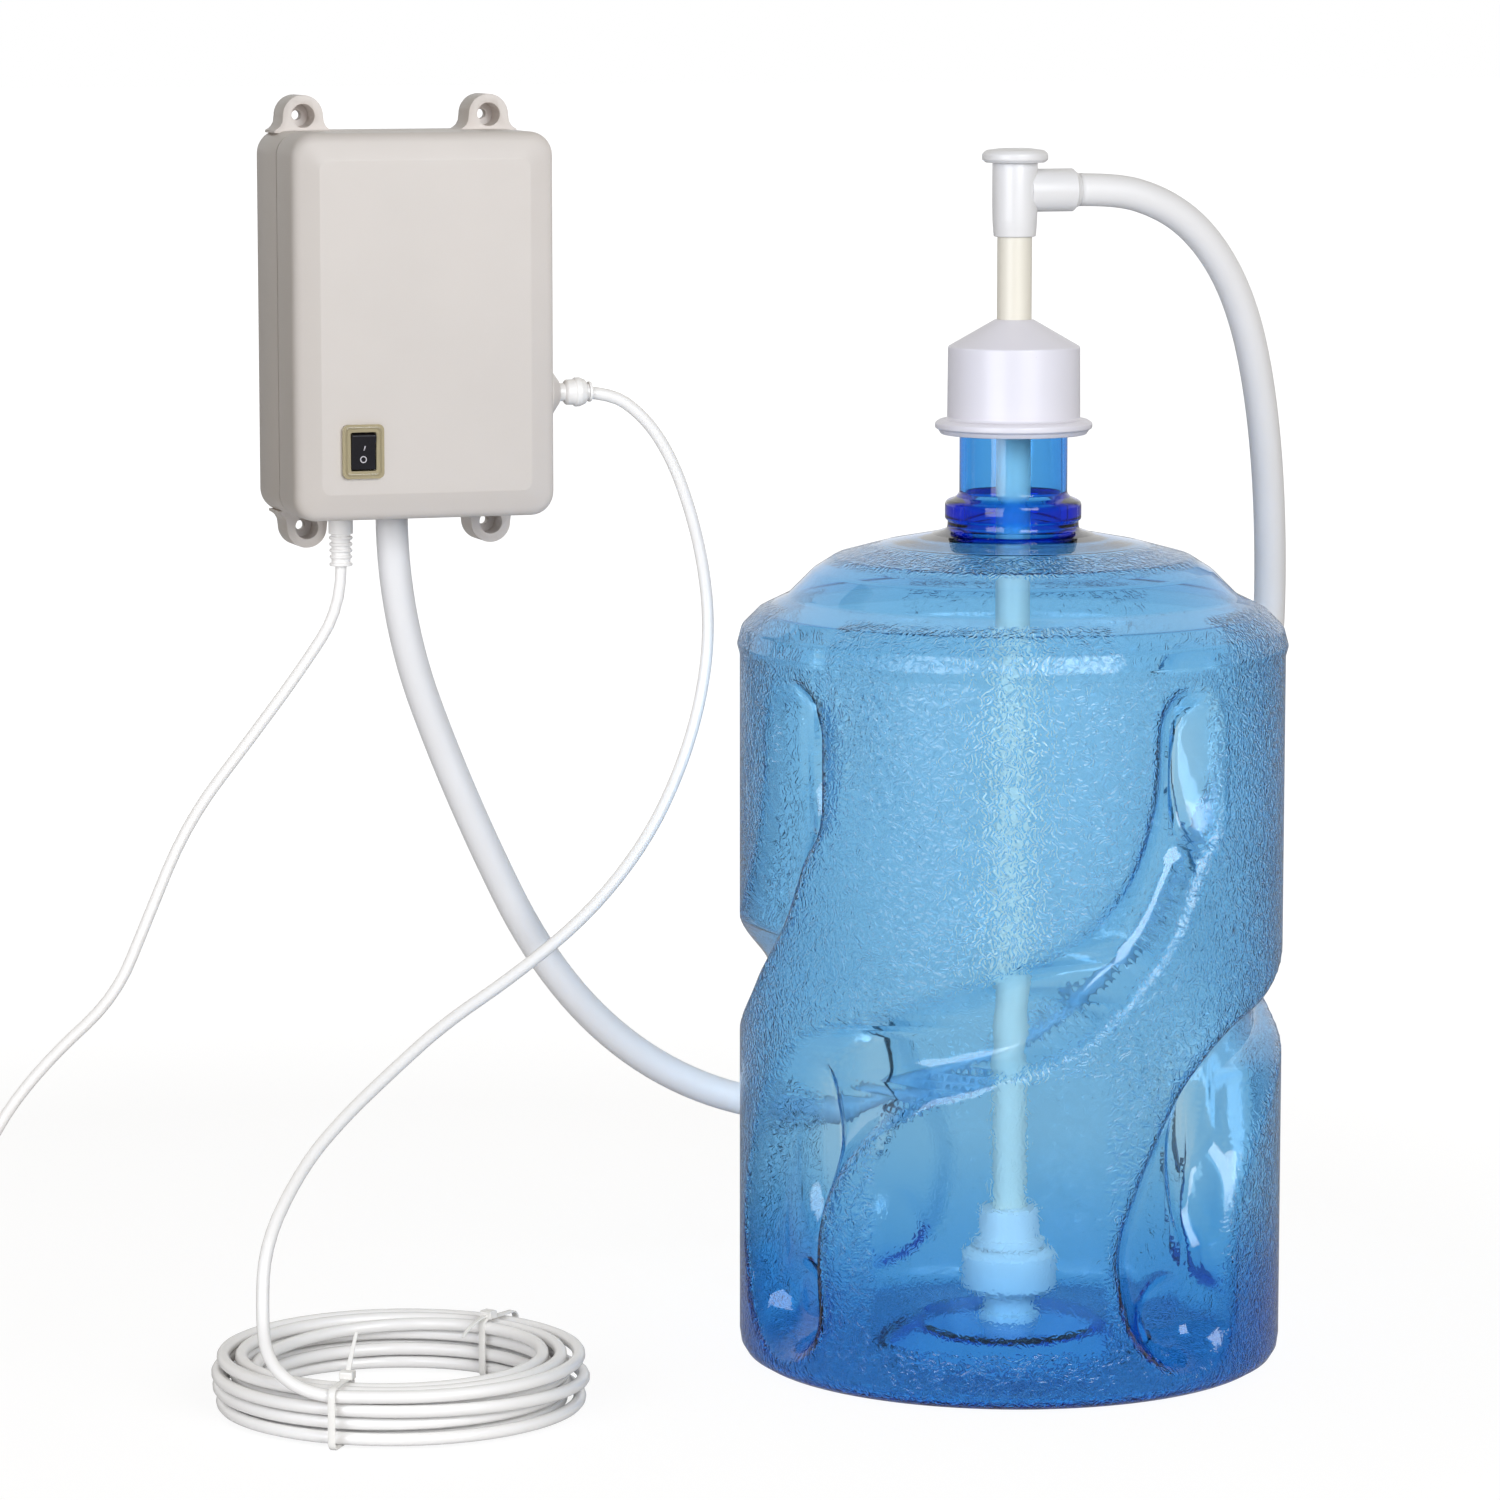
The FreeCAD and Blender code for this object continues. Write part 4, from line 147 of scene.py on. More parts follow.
lens = bpy.data.cameras.new("camera")
lens.lens = 144
lens.sensor_width = 36
lens.clip_end = 50
camera = add_object("camera", lens)
camera.location = (-0.80618, -2.99892, 0.18345)
behind = Vector((
    math.sin(VIEW_AZIMUTH) * math.cos(VIEW_ELEVATION),
    -math.cos(VIEW_AZIMUTH) * math.cos(VIEW_ELEVATION),
    math.sin(VIEW_ELEVATION),
))
camera.rotation_mode = "QUATERNION"
camera.rotation_quaternion = (-behind).to_track_quat("-Z", "Y")
bpy.context.scene.camera = camera
print("camera at", tuple(round(c, 3) for c in camera.location))

# %% The studio light
SKY_ON_OBJECT = (0.295, 0.266, 0.217, 1)  # the sky as it lights a surface
LIGHT_INSIDE = (1.5, 1.2, 1.1, 1)  # the sky as a lit surface gets it through clear plastic
SKY_BEHIND_CAMERA = (0.2, 0.4, 0.74, 1)  # the dim side, as gloss and clear plastic show it
BACKDROP = (0.3146, 0.94, -0.13)  # direction of the bright side
DIM_AT, BRIGHT_AT = -0.3, 0.55  # share of that direction at which a ray sees all dim, all bright

world = bpy.data.worlds.new("studio")
bpy.context.scene.world = world
world.use_nodes = True
sky = world.node_tree
sky.nodes.clear()


def rays(tree, kind):
    """1 for rays of a kind, such as Camera or Glossy, and 0 for others."""
    return add_node(tree, "ShaderNodeLightPath", output=f"Is {kind} Ray")


def seen_by(tree):
    """1 for rays that see a thing directly, in a reflection or through clear plastic."""
    seen = maths(tree, "MAXIMUM", rays(tree, "Camera"), rays(tree, "Glossy"))
    return maths(tree, "MAXIMUM", seen, rays(tree, "Transmission"))


seen = seen_by(sky)
bounced = maths(sky, "MINIMUM", add_node(sky, "ShaderNodeLightPath", output="Diffuse Depth"), 1)
heading = add_node(sky, "ShaderNodeTexCoord", output="Generated")
along = add_node(sky, "ShaderNodeVectorMath",
                 {"operation": "DOT_PRODUCT", 0: heading, 1: BACKDROP}, "Value")
dim = map_range(sky, along, 1, 0, DIM_AT, BRIGHT_AT, "SMOOTHSTEP")
unbounced = maths(sky, "MAXIMUM", maths(sky, "SUBTRACT", seen, bounced), 0)
through = mix_colours(sky, bounced, WHITE, LIGHT_INSIDE)
front = mix_colours(sky, maths(sky, "MULTIPLY", dim, unbounced), through, SKY_BEHIND_CAMERA)
colour = mix_colours(sky, seen, SKY_ON_OBJECT, front)
light = add_node(sky, "ShaderNodeBackground", {"Color": colour})
add_node(sky, "ShaderNodeOutputWorld", {"Surface": light})


def soft_lamp(name, power, size, place, aim, colour=(1, 1, 1)):
    """A square soft lamp that faces a point."""
    lamp = bpy.data.lights.new(name, "AREA")
    lamp.energy = power
    lamp.color = colour
    lamp.size = size
    holder = add_object(name, lamp)
    holder.location = place
    holder.rotation_mode = "QUATERNION"
    holder.rotation_quaternion = (Vector(aim) - Vector(place)).to_track_quat("-Z", "Y")
    return holder


key_lamp = soft_lamp("key_lamp", 63, 1.7, (0.65, -3.1, 0.95), (0.1, -0.1, -0.1))
fill_lamp = soft_lamp("fill_lamp", 54, 1.9, (-2.3, -2.1, 0.5), (0.2, -0.1, -0.2),
                      (0.93, 0.95, 1.0))
bpy.context.scene.view_settings.view_transform = "Standard"
print("sky on the object:", SKY_ON_OBJECT[:3])

# %% [markdown]
# The floor is white paper that keeps the shadows of what stands on it. Seen directly it also glows
# like the backdrop, a little less near the object, and much less in a reflection.

# %% The floor
GLOW_SEEN, GLOW_REFLECTED = 1.12, 0.35
GLOW_SHARE_NEAR = 0.8
FADE_FROM, FADE_TO = 0.6, 1.5  # metres from under the origin

floor_mesh = bpy.data.meshes.new("floor")
floor_mesh.from_pydata([(-20, -20, 0), (20, -20, 0), (20, 30, 0), (-20, 30, 0)], [],
                       [(0, 1, 2, 3)])
floor = add_object("floor", floor_mesh)
floor.location = (0, 0, FLOOR - 0.3 * MM)
studio_paper, tree = new_material("studio_paper")
paper = add_node(tree, "ShaderNodeBsdfDiffuse", {"Color": linear("#DEDEE0")})
reflected = maths(tree, "SUBTRACT", rays(tree, "Glossy"), rays(tree, "Transmission"), True)
strength = map_range(tree, reflected, GLOW_SEEN, GLOW_REFLECTED)
glow = add_node(tree, "ShaderNodeEmission", {"Color": WHITE, "Strength": strength})
spot = add_node(tree, "ShaderNodeTexCoord", output="Object")
away = add_node(tree, "ShaderNodeVectorMath", {"operation": "LENGTH", 0: spot}, "Value")
fade = map_range(tree, away, GLOW_SHARE_NEAR, 1, FADE_FROM, FADE_TO)
share = maths(tree, "MULTIPLY", seen_by(tree), fade)
mixed = add_node(tree, "ShaderNodeMixShader", {0: share, 1: paper, 2: glow})
add_node(tree, "ShaderNodeOutputMaterial", {"Surface": mixed})
floor_mesh.materials.append(studio_paper)
print("floor at", round(floor.location.z, 4))

# %% [markdown]
# ## Helpers that make and finish a piece
#
# Every piece ends the same way: its mesh becomes an object, gets its material and rides on the body
# of the model that carries it. Where it is a better-looking version of a part of the engineering
# model, it takes that part's place.

# %% Finish a piece
def dress(piece, material, body, slot, *stands_for):
    """Give a piece its material, its body and the nodes that it stands for. The slot is not used.
    """
    piece.data.materials.clear()
    piece.data.materials.append(material)
    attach(piece, body)
    if stands_for:
        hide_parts(*stands_for)
    return piece


def mesh_object(name, vertices, faces, merge=0.002, **values):
    """An object from corners and faces, with its normals pointing outwards.

    Corners closer than merge millimetres become one. Values are lists with a number per corner.
    """
    data = bpy.data.meshes.new(name)
    data.from_pydata([tuple(v) for v in vertices], [], faces)
    for key, numbers in values.items():
        data.attributes.new(key, "FLOAT", "POINT").data.foreach_set("value", numbers)
    work = bmesh.new()
    work.from_mesh(data)
    bmesh.ops.remove_doubles(work, verts=work.verts, dist=merge * MM)
    bmesh.ops.recalc_face_normals(work, faces=work.faces)
    work.to_mesh(data)
    work.free()
    data.shade_smooth()
    return add_object(name, data)


def keep_creases(piece, degrees=32):
    """Smooth shading that keeps edges sharper than an angle crisp."""
    piece.data.set_sharp_from_angle(angle=math.radians(degrees))


def evaluated_mesh(piece):
    """The shape of an object with its curve and modifiers worked out, as a mesh."""
    graph = bpy.context.evaluated_depsgraph_get()
    return bpy.data.meshes.new_from_object(piece.evaluated_get(graph))


def bake(piece):
    """Apply the modifiers: the evaluated shape becomes the piece's own mesh."""
    shape = evaluated_mesh(piece)
    piece.modifiers.clear()
    piece.data = shape
    return piece


def soften(piece, width, segments=3, degrees=30):
    """Round the sharp edges of a mesh, as every moulding has them, and apply it."""
    bevel = piece.modifiers.new("edges", "BEVEL")
    bevel.width = width * MM
    bevel.segments = segments
    bevel.limit_method = "ANGLE"
    bevel.angle_limit = math.radians(degrees)
    bevel.miter_outer = "MITER_ARC"
    bevel.harden_normals = True
    piece.data.shade_smooth()
    return bake(piece)


def copy_of(node, name):
    """A merged copy of a node's mesh, with its flat faces whole again, ready to be softened."""
    data = nodes[node].data.copy()
    work = bmesh.new()
    work.from_mesh(data)
    bmesh.ops.remove_doubles(work, verts=work.verts, dist=0.004 * MM)
    bmesh.ops.dissolve_limit(work, angle_limit=math.radians(0.6), verts=work.verts,
                             edges=work.edges)
    work.to_mesh(data)
    work.free()
    return add_object(name, data)


def ring_faces(rings, around, first=0, closed=False):
    """Quads that join rings of points, numbered from first. Closed joins the last to the first."""
    return [(first + ring * around + column, first + ring * around + (column + 1) % around,
             first + (ring + 1) % rings * around + (column + 1) % around,
             first + (ring + 1) % rings * around + column)
            for ring in range(rings if closed else rings - 1) for column in range(around)]


def circle(radius, sides):
    """Points (across, along) round a circle."""
    turns = [2 * math.pi * side / sides for side in range(sides)]
    return [(radius * math.cos(turn), radius * math.sin(turn)) for turn in turns]


def lathe(name, outline, centre, columns=96, axis="z", closed=True):
    """Turn an outline of (radius, height) in millimetres about an axis through the centre."""
    vertices = [
        Vector((across, along, height) if axis == "z" else (height, across, along)) * MM
        + Vector(centre) * MM
        for radius, height in outline for across, along in circle(radius, columns)]
    return mesh_object(name, vertices, ring_faces(len(outline), columns, closed=closed))


def rounded(corners, steps=5):
    """An outline whose corners (x, y, radius) are rounded with arcs of so many steps."""
    line = []
    for index, corner in enumerate(corners):
        here = Vector(corner[:2])
        before = Vector(corners[index - 1][:2]) - here
        after = Vector(corners[(index + 1) % len(corners)][:2]) - here
        half = before.angle(after, 0) / 2
        if len(corner) < 3 or not 0 < half < math.radians(89):
            line.append(tuple(here))
            continue
        reach = min(corner[2] / math.tan(half), 0.48 * before.length, 0.48 * after.length)
        first = here + before.normalized() * reach
        last = here + after.normalized() * reach
        for share in (step / steps for step in range(steps + 1)):
            line.append(tuple(first * (1 - share) ** 2 + here * 2 * share * (1 - share)
                              + last * share ** 2))
    return line


def turned(name, corners, steps, centre, material, body, slot, *stands_for, crease=45, **shape):
    """A dressed piece, turned from an outline with rounded corners."""
    made = lathe(name, rounded(corners, steps), centre, **shape)
    keep_creases(made, crease)
    return dress(made, material, body, slot, *stands_for)


print("a rounded square has", len(rounded([(0, 0, 1), (9, 0, 1), (9, 9, 1), (0, 9, 1)])), "points")

# %% [markdown]
# ## Hoses, tube and lead: their lines
#
# Each line below is a short list of points, given in millimetres, and Blender's NURBS
# spline draws a smooth curve by them: none of them is a corner. The thick hose leaves the case
# straight down, sweeps behind the bottle and comes back over it to the wand. The thin tube leaves
# the fitting on the right, hangs in a wide bow and drops into its coil on the floor. The lead runs
# out of the picture to the left.

# %% The three lines
HOSE_LINE = [
    (-6, -27, -97.5), (-6, -27, -150), (29, -27, -246), (80, -26, -350), (154, -23, -411),
    (248, -22, -430), (338, -22, -404), (404, -24, -352), (440, -38, -300), (456, -58, -243),
    (459, -84, -186), (449, -110, -128), (436, -133, -69), (421, -151, -20), (406, -163, 13),
    (389.5, -171, 36.5), (372, -176, 53), (352.5, -179, 63.5), (331.5, -180, 69), (310.5, -180, 69),
]
TUBE_LINE = [
    (79.8, -56, -36), (102, -56, -36), (120, -56.4, -48.6), (133, -57, -66.5), (143.5, -58, -92),
    (152, -59.5, -126), (154.5, -62, -161), (149, -65, -196), (136, -71, -231), (113, -83, -267),
    (77, -98, -301), (32, -114, -328), (-8, -129, -347), (-39, -145, -366), (-70, -164, -385),
    (-96, -184, -404), (-123.2, -214.2, -434.5), (-127.5, -225.4, -469.8), (-129.5, -242.7, -484.7),
    (-122.2, -257.5, -494.5), (-108.8, -268.9, -498.9), (-96.3, -274.9, -498.9),
]
LEAD_LINE = [
    (-33, -27, -124.5), (-33, -27, -146), (-55, -29, -177), (-83, -33, -211), (-118, -38, -252),
    (-142, -46, -302), (-160, -54, -338), (-196, -60, -366), (-224, -63, -398), (-243, -65, -440),
    (-262, -67, -479), (-288, -68, -507), (-318, -67, -513.9), (-344, -67.8, -513.9),
]
print("points by hand:", len(HOSE_LINE), len(TUBE_LINE), len(LEAD_LINE))

# %% [markdown]
# ## Turns of a coil
#
# A coil that somebody winds by hand spirals inwards in one layer, climbs to the next and spirals
# outwards again. The tie holds its strands together at one place, and away from it they fan out.
# One rule gives every turn.

# %% Coil rule
CLIMB = 0.5  # turns that a strand takes to change its layer


def ease(share):
    """A share held between 0 and 1, with a soft start and a soft end."""
    share = min(max(share, 0), 1)
    return share * share * (3 - 2 * share)


def coil_turns(middle, top, outer, start, turns, layers, pitch, layer, steps,
               tied=0, fan=0, bulge=0):
    """Points of a piled coil, from its top outside.

    Strands lie pitch and layer apart. They fan out and bulge away from where they are tied.
    """
    points = []
    for step in range(1, round(turns * layers * steps) + 1):
        gone = step / steps
        level = min(int(gone / turns + 1e-9), layers - 1)
        inward = gone - level * turns if level % 2 == 0 else (level + 1) * turns - gone
        angle = math.radians(start) + 2 * math.pi * gone
        away = (1 - math.cos(2 * (angle - math.radians(tied)))) / 2
        radius = outer + bulge * away - pitch * (1 + fan * away) * inward
        sunk = sum(ease((gone - change * turns) / CLIMB + 0.5) for change in range(1, layers))
        points.append((middle[0] + radius * math.cos(angle), middle[1] + radius * math.sin(angle),
                       top - layer * sunk))
    return points


TUBE_COIL = coil_turns((-52, -195), -498.9, 91, -115, 2.625, 4, 7.6, 7.2, 24,
                       tied=-124, fan=0.22, bulge=2.5)
LEAD_COIL = coil_turns((-350, -110), -513.9, 42, 90, 2.5, 2, 6.9, 6.8, 16)
print("points in the coils:", len(TUBE_COIL), len(LEAD_COIL))

# %% [markdown]
# ## Make the tube and the lead
#
# The spline itself can carry a round section, so a tube is a curve with a bevel. The order of the
# spline is set once its points are there: set before, it would fall back to straight runs.

# %% Spline and tube
def spline(name, points, radius=0, detail=5):
    """A NURBS curve with these control points in millimetres, and a round section if asked for."""
    data = bpy.data.curves.new(name, "CURVE")
    data.dimensions = "3D"
    data.resolution_u = detail
    line = data.splines.new("NURBS")
    line.points.add(len(points) - 1)
    for place, point in zip(line.points, points):
        place.co = (*[value * MM for value in point], 1)
    line.order_u = 3
    line.use_endpoint_u = True
    data.bevel_depth = radius * MM
    data.bevel_resolution = 4
    data.use_fill_caps = True
    return add_object(name, data)


def points_along(points):
    """Points read from the smooth curve of a line."""
    curve = spline("line", points, detail=12)
    places = [v.co.copy() for v in evaluated_mesh(curve).vertices]
    bpy.data.objects.remove(curve)
    return places


def sweep(name, places, section, up=Vector((0, 0, 1))):
    """Carry a flat section (side, up) in metres along places without twisting it."""
    vertices = []
    side = None
    for index, place in enumerate(places):
        ahead = places[min(index + 1, len(places) - 1)] - places[max(index - 1, 0)]
        ahead.normalize()
        side = side - ahead * side.dot(ahead) if side else ahead.cross(up)
        side.normalize()
        rise = side.cross(ahead)
        vertices += [place + side * across + rise * high for across, high in section]
    around = len(section)
    first_end = tuple(range(around))
    last_end = tuple(len(vertices) - around + corner for corner in reversed(first_end))
    return mesh_object(name, vertices,
                       ring_faces(len(places), around) + [first_end, last_end])


def line_length(places):
    """Length of a line through places, in metres."""
    return sum((after - before).length for before, after in zip(places, places[1:]))


HOSE_DIAMETER = 16.6
TUBE_DIAMETER = 6.35
LEAD_DIAMETER = 6
outlet_tube = spline("outlet_tube_and_coil", TUBE_LINE + TUBE_COIL, TUBE_DIAMETER / 2)
LEAD_END = (-380, -67.2, -520.7)
mains_lead = spline("mains_lead_and_coil", LEAD_LINE + LEAD_COIL + [LEAD_END], LEAD_DIAMETER / 2)
tube_length = line_length(points_along(TUBE_LINE + TUBE_COIL))
lead_length = line_length(points_along(LEAD_LINE + LEAD_COIL + [LEAD_END]))
print("outlet tube", round(tube_length, 3), "m; mains lead", round(lead_length, 3), "m")

# %% The suction hose
hose_places = points_along(HOSE_LINE)
suction_hose = sweep("suction_hose_skin", hose_places, circle(HOSE_DIAMETER / 2 * MM, 28),
                     Vector((0, 1, 0)))

# %% [markdown]
# ## Moulded plastics and rubber
#
# Most of this object is moulded. A moulding is never one flat colour: the shade drifts a little
# over a few centimetres, the skin has a fine grain from the tool, and its gloss follows the grain.
# One recipe makes them all, with the real sizes of the grain in millimetres. The long soft drawn
# ones have a slow waviness in place of a grain.

# %% Recipe for a moulded skin
def finish_skin(material, colour, dull, shade, fine, roughness, swing, relief, depth, shader):
    """End a recipe: colour by the shade pattern, gloss and relief by the fine pattern.

    The colour goes down to its dull share, and the gloss swings by a share of the roughness.
    """
    tree = material.node_tree
    full = linear(colour)
    darker = tuple(value * dull for value in full[:3]) + (1,)
    surface = add_node(tree, "ShaderNodeBsdfPrincipled", {
        **shader,
        "Base Color": mix_colours(tree, shade, darker, full),
        "Roughness": map_range(tree, fine, roughness * (1 - swing), roughness * (1 + swing)),
        "Normal": add_node(tree, "ShaderNodeBump",
                           {"Strength": relief, "Distance": depth * MM, "Height": fine})})
    add_node(tree, "ShaderNodeOutputMaterial", {"Surface": surface})
    return material


def moulded(name, colour, roughness, grain=0.8, depth=0.02, octaves=3, drift=0.035,
            drift_size=55, **shader):
    """A moulded plastic or rubber. Sizes in millimetres; the rest goes on the shader itself."""
    material, tree = new_material(name)
    place = add_node(tree, "ShaderNodeTexCoord", output="Object")
    shade = add_node(tree, "ShaderNodeTexNoise",
                     {"Scale": 1000 / drift_size, "Detail": 2, "Vector": place})
    fine = add_node(tree, "ShaderNodeTexNoise", {
        "Scale": 1000 / grain, "Detail": octaves, "Roughness": 0.6, "Vector": place})
    return finish_skin(material, colour, 1 - 2 * drift, shade, fine, roughness, swing=0.14,
                       relief=0.6, depth=depth, shader=shader)


# ABS with a spark-eroded skin: satin, warm grey beige, a sheen rather than a reflection.
case_abs = moulded("beige_abs_spark_eroded", "#E0DBD8", 0.42, grain=0.9, depth=0.035, IOR=1.53)
# Soft polypropylene: milky white, light goes a little way in, faint lavender in its shade.
cap_pp = moulded("white_polypropylene", "#DADAE5", 0.3, 2.5, 0.012, 1, IOR=1.49)
# Acetal of the push-in fitting: clean cold white, tight gloss.
fitting_acetal = moulded("white_acetal", "#F0F0F0", 0.22, grain=0.7, depth=0.01, IOR=1.48)
# Flexible PVC jacket of the mains lead: matt white with a slight wax look.
lead_pvc = moulded("white_flexible_pvc", "#EFEEED", 0.4, 7, 0.03, 0, IOR=1.53)
# Silicone hose: soft cool white, satin.
hose_silicone = moulded("white_silicone", "#DFE0E3", 0.38, 12, 0.05, 0, IOR=1.43)
# Low-density polyethylene tube: glossy milky white.
tube_ldpe = moulded("milky_polyethylene", "#F1F1F1", 0.24, 8, 0.03, 0, IOR=1.51)
# The suction tube is a plain extruded PVC pipe: ivory.
wand_pvc = moulded("ivory_pvc_pipe", "#DEDBD0", 0.34, grain=1.2, depth=0.015, IOR=1.53)
# ABS head and foot of the wand: neutral white.
wand_abs = moulded("white_abs", "#DCDDE0", 0.3, depth=0.015, IOR=1.53)
# Nylon of the cable ties: pale and glossy.
tie_nylon = moulded("natural_nylon", "#ECECEA", 0.22, 2, 0.01, 1, IOR=1.53)
# Gloss black ABS of the rocker: nearly a mirror at a slant, violet black in the light.
rocker_abs = moulded("black_abs_gloss", "#17151D", 0.16, grain=0.6, depth=0.006, IOR=1.53)
# Printed white of the switch marks.
mark_ink = moulded("white_pad_print", "#E8E6F0", 0.45, grain=0.3, depth=0.004)
# Polycarbonate frame of the switch: ivory, as glossy as glass, and partly clear.
frame_pc = moulded("ivory_polycarbonate", "#C6BB99", 0.07, 2.0, 0.004, 1,
                   **{"IOR": 1.585, "Transmission Weight": 0.4})
# Silicone seal between the shells: grey beige, dull.
seal_silicone = moulded("grey_silicone_seal", "#5C5345", 0.6, grain=0.5)
# Black glass-filled nylon of the pump, dull with a rough grain.
pump_nylon = moulded("black_filled_nylon", "#1C1C1E", 0.55, grain=0.7, depth=0.05)
# Nitrile rubber of diaphragm and feet: deep matt black.
pump_nitrile = moulded("black_nitrile_rubber", "#202022", 0.7, grain=0.5, depth=0.03)
# Glass-epoxy board: green lacquer over a faint weave.
board_epoxy = moulded("green_glass_epoxy", "#1F5B3A", 0.3, grain=1.2, drift=0.08, drift_size=3)
# Sintered ferrite of the magnets: dark grey, dusty.
ferrite = moulded("sintered_ferrite", "#3A3B3F", 0.6, grain=0.4, depth=0.03)
# Polypropylene foam of the float.
float_pp = moulded("white_foamed_polypropylene", "#EFEFEA", 0.5, grain=1.5, depth=0.05)
print("materials so far:", len(bpy.data.materials))

# %% [markdown]
# ## Metals
#
# A turned, drawn or plated metal shows the direction in which it was worked: fine lines that catch
# the light. Stretching a noise pattern along one axis draws them, and they vary the gloss.

# %% Recipe for a worked metal
def worked_metal(name, colour, roughness, line=0.15, stretch=(1, 1, 30)):
    """A metal whose gloss is drawn out in fine lines, a line width apart."""
    material, tree = new_material(name)
    place = add_node(tree, "ShaderNodeTexCoord", output="Object")
    drawn = add_node(tree, "ShaderNodeMapping",
                     {"Scale": tuple(1 / value for value in stretch), "Vector": place})
    lines = add_node(tree, "ShaderNodeTexNoise",
                     {"Scale": 1000 / line, "Detail": 4, "Vector": drawn})
    return finish_skin(material, colour, 0.86, lines, lines, roughness, swing=0.3,
                       relief=0.3, depth=0.008, shader={"Metallic": 1})


# Zinc-plated steel of screws, bracket and spring: bluish silver, satin.
zinc_steel = worked_metal("zinc_plated_steel", "#C3C7CB", 0.32)
# Stamped brass: warm yellow blades and terminals with rolling lines.
rolled_brass = worked_metal("rolled_brass", "#C9A35A", 0.28, stretch=(30, 1, 1))
# Drawn steel of the motor can.
drawn_steel = worked_metal("drawn_steel", "#A9ADB2", 0.3)
# Sintered bronze of the bushes: brown gold and dull.
sintered_bronze = worked_metal("sintered_bronze", "#A57A4A", 0.5, 0.3, (1, 1, 1))
# Enamelled copper winding: dark glossy copper, ridged by its wire.
enamelled_copper = worked_metal("enamelled_copper", "#B0603A", 0.3, 0.5)
# Laminated core steel: bluish grey, streaked by its sheets.
core_steel = worked_metal("laminated_core_steel", "#6E7378", 0.45, 0.5)
# Polished stainless ball.
ball_steel = worked_metal("polished_stainless_steel", "#CFD2D6", 0.1)
print("with the metals:", len(bpy.data.materials))

# %% [markdown]
# ## Cords take their finish
#
# Each cord gets its material. The tube and its coil are one piece of tube, as they are in life,
# and so are the lead and its coil. The hose takes the place of the model's hose.

dress(outlet_tube, tube_ldpe, "root", "tube_white", "outlet_tube", "outlet_tube_coil")

suction_hose.data.materials.append(hose_silicone)
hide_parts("suction_hose")
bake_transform(suction_hose)
print("hose from", HOSE_LINE[0], "to", HOSE_LINE[-1])

# %% [markdown]
# ## Mains plug
#
# The plug at the end of the lead is moulded in one with its neck: a flat rounded block that tapers
# to the cord, with two folded brass blades. It lies beside the coil outside the picture. The solid
# of the engineering model has sharp corners, so it is copied and its edges are rounded.

# %% Plug and blades
plug_body = soften(copy_of("plug_body", "plug_moulding"), 1.6, 4)
keep_creases(plug_body)
dress(plug_body, lead_pvc, "root", "lead_white", "plug_body")
plug_blades = soften(copy_of("plug_blades", "plug_blade_pair"), 0.25, 2)
dress(plug_blades, rolled_brass, "root", "brass_tab", "plug_blades")
dress(mains_lead, lead_pvc, "root", "lead_white", "power_cord", "power_cord_coil")
print("lead from", LEAD_LINE[0], "to", LEAD_END)

# %% [markdown]
# ## Front cover
#
# The cover is a deep tray with a wide shallow bevel round its flat face, and soft edges where the
# tool has a radius. It is lofted: a row of rounded rectangles, each a little further forward and
# further in, is joined into one skin. The edge line is drawn first as a profile of (inset, depth)
# with rounded corners, outside and inside, so that the wall has its real thickness.

# %% Loops of a rounded rectangle
def rectangle_loop(half_width, half_height, corner, y, centre=(0, 0), steps=8):
    """Points of a rounded rectangle that faces the viewer, anticlockwise from the right."""
    points = []
    for quarter, (sx, sz) in enumerate(((1, 1), (-1, 1), (-1, -1), (1, -1))):
        for step in range(steps + 1):
            turn = math.pi / 2 * (quarter + step / steps)
            points.append((centre[0] + sx * (half_width - corner) + corner * math.cos(turn), y,
                           centre[1] + sz * (half_height - corner) + corner * math.sin(turn)))
    return points


def loft(loops, first=0):
    """Vertices in metres and quads that join loops of as many points, numbered from first."""
    return ([Vector(point) * MM for loop in loops for point in loop],
            ring_faces(len(loops), len(loops[0]), first))


def fill_between(vertices, loops):
    """Triangles of a flat face between closed loops of vertex numbers."""
    work = bmesh.new()
    made = [[work.verts.new(vertices[number]) for number in loop] for loop in loops]
    edges = [work.edges.new((loop[i], loop[(i + 1) % len(loop)]))
             for loop in made for i in range(len(loop))]
    numbers = {vert: number for loop, ids in zip(made, loops) for vert, number in zip(loop, ids)}
    result = bmesh.ops.triangle_fill(work, use_beauty=True, use_dissolve=False, edges=edges)
    faces = [tuple(numbers[vert] for vert in face.verts)
             for face in result["geom"] if isinstance(face, bmesh.types.BMFace)]
    work.free()
    return faces


print("points in a loop:", len(rectangle_loop(10, 10, 2, 0)))

# %% Loft the cover
CASE_HALF = (68.5, 97.5)
COVER_FOOT = -40.8
FACE, FACE_BACK = 35.2, 32.7  # front and back of the flat face, in front of the cover's foot
BEVEL_WIDTH = 13.5
CORNER, CORNER_LOSS, CORNER_LEAST = 12, 7, 3
outside = rounded([(1.0, 0.7), (0, 0.7, 0.6), (0, 31.2, 6.5), (BEVEL_WIDTH, FACE, 3),
                   (16.5, FACE)], 6)
inside = rounded([(17, FACE_BACK), (15, FACE_BACK, 2), (2.5, 29, 4), (2.5, 0.7)], 4)
SWITCH = (-34, -62)


def cover_loops(profile):
    """A rounded rectangle for each (inset, depth). Further in, its corners are tighter."""
    return [rectangle_loop(CASE_HALF[0] - inset, CASE_HALF[1] - inset,
                           max(CORNER - inset * CORNER_LOSS / BEVEL_WIDTH, CORNER_LEAST),
                           COVER_FOOT - depth) for inset, depth in profile]


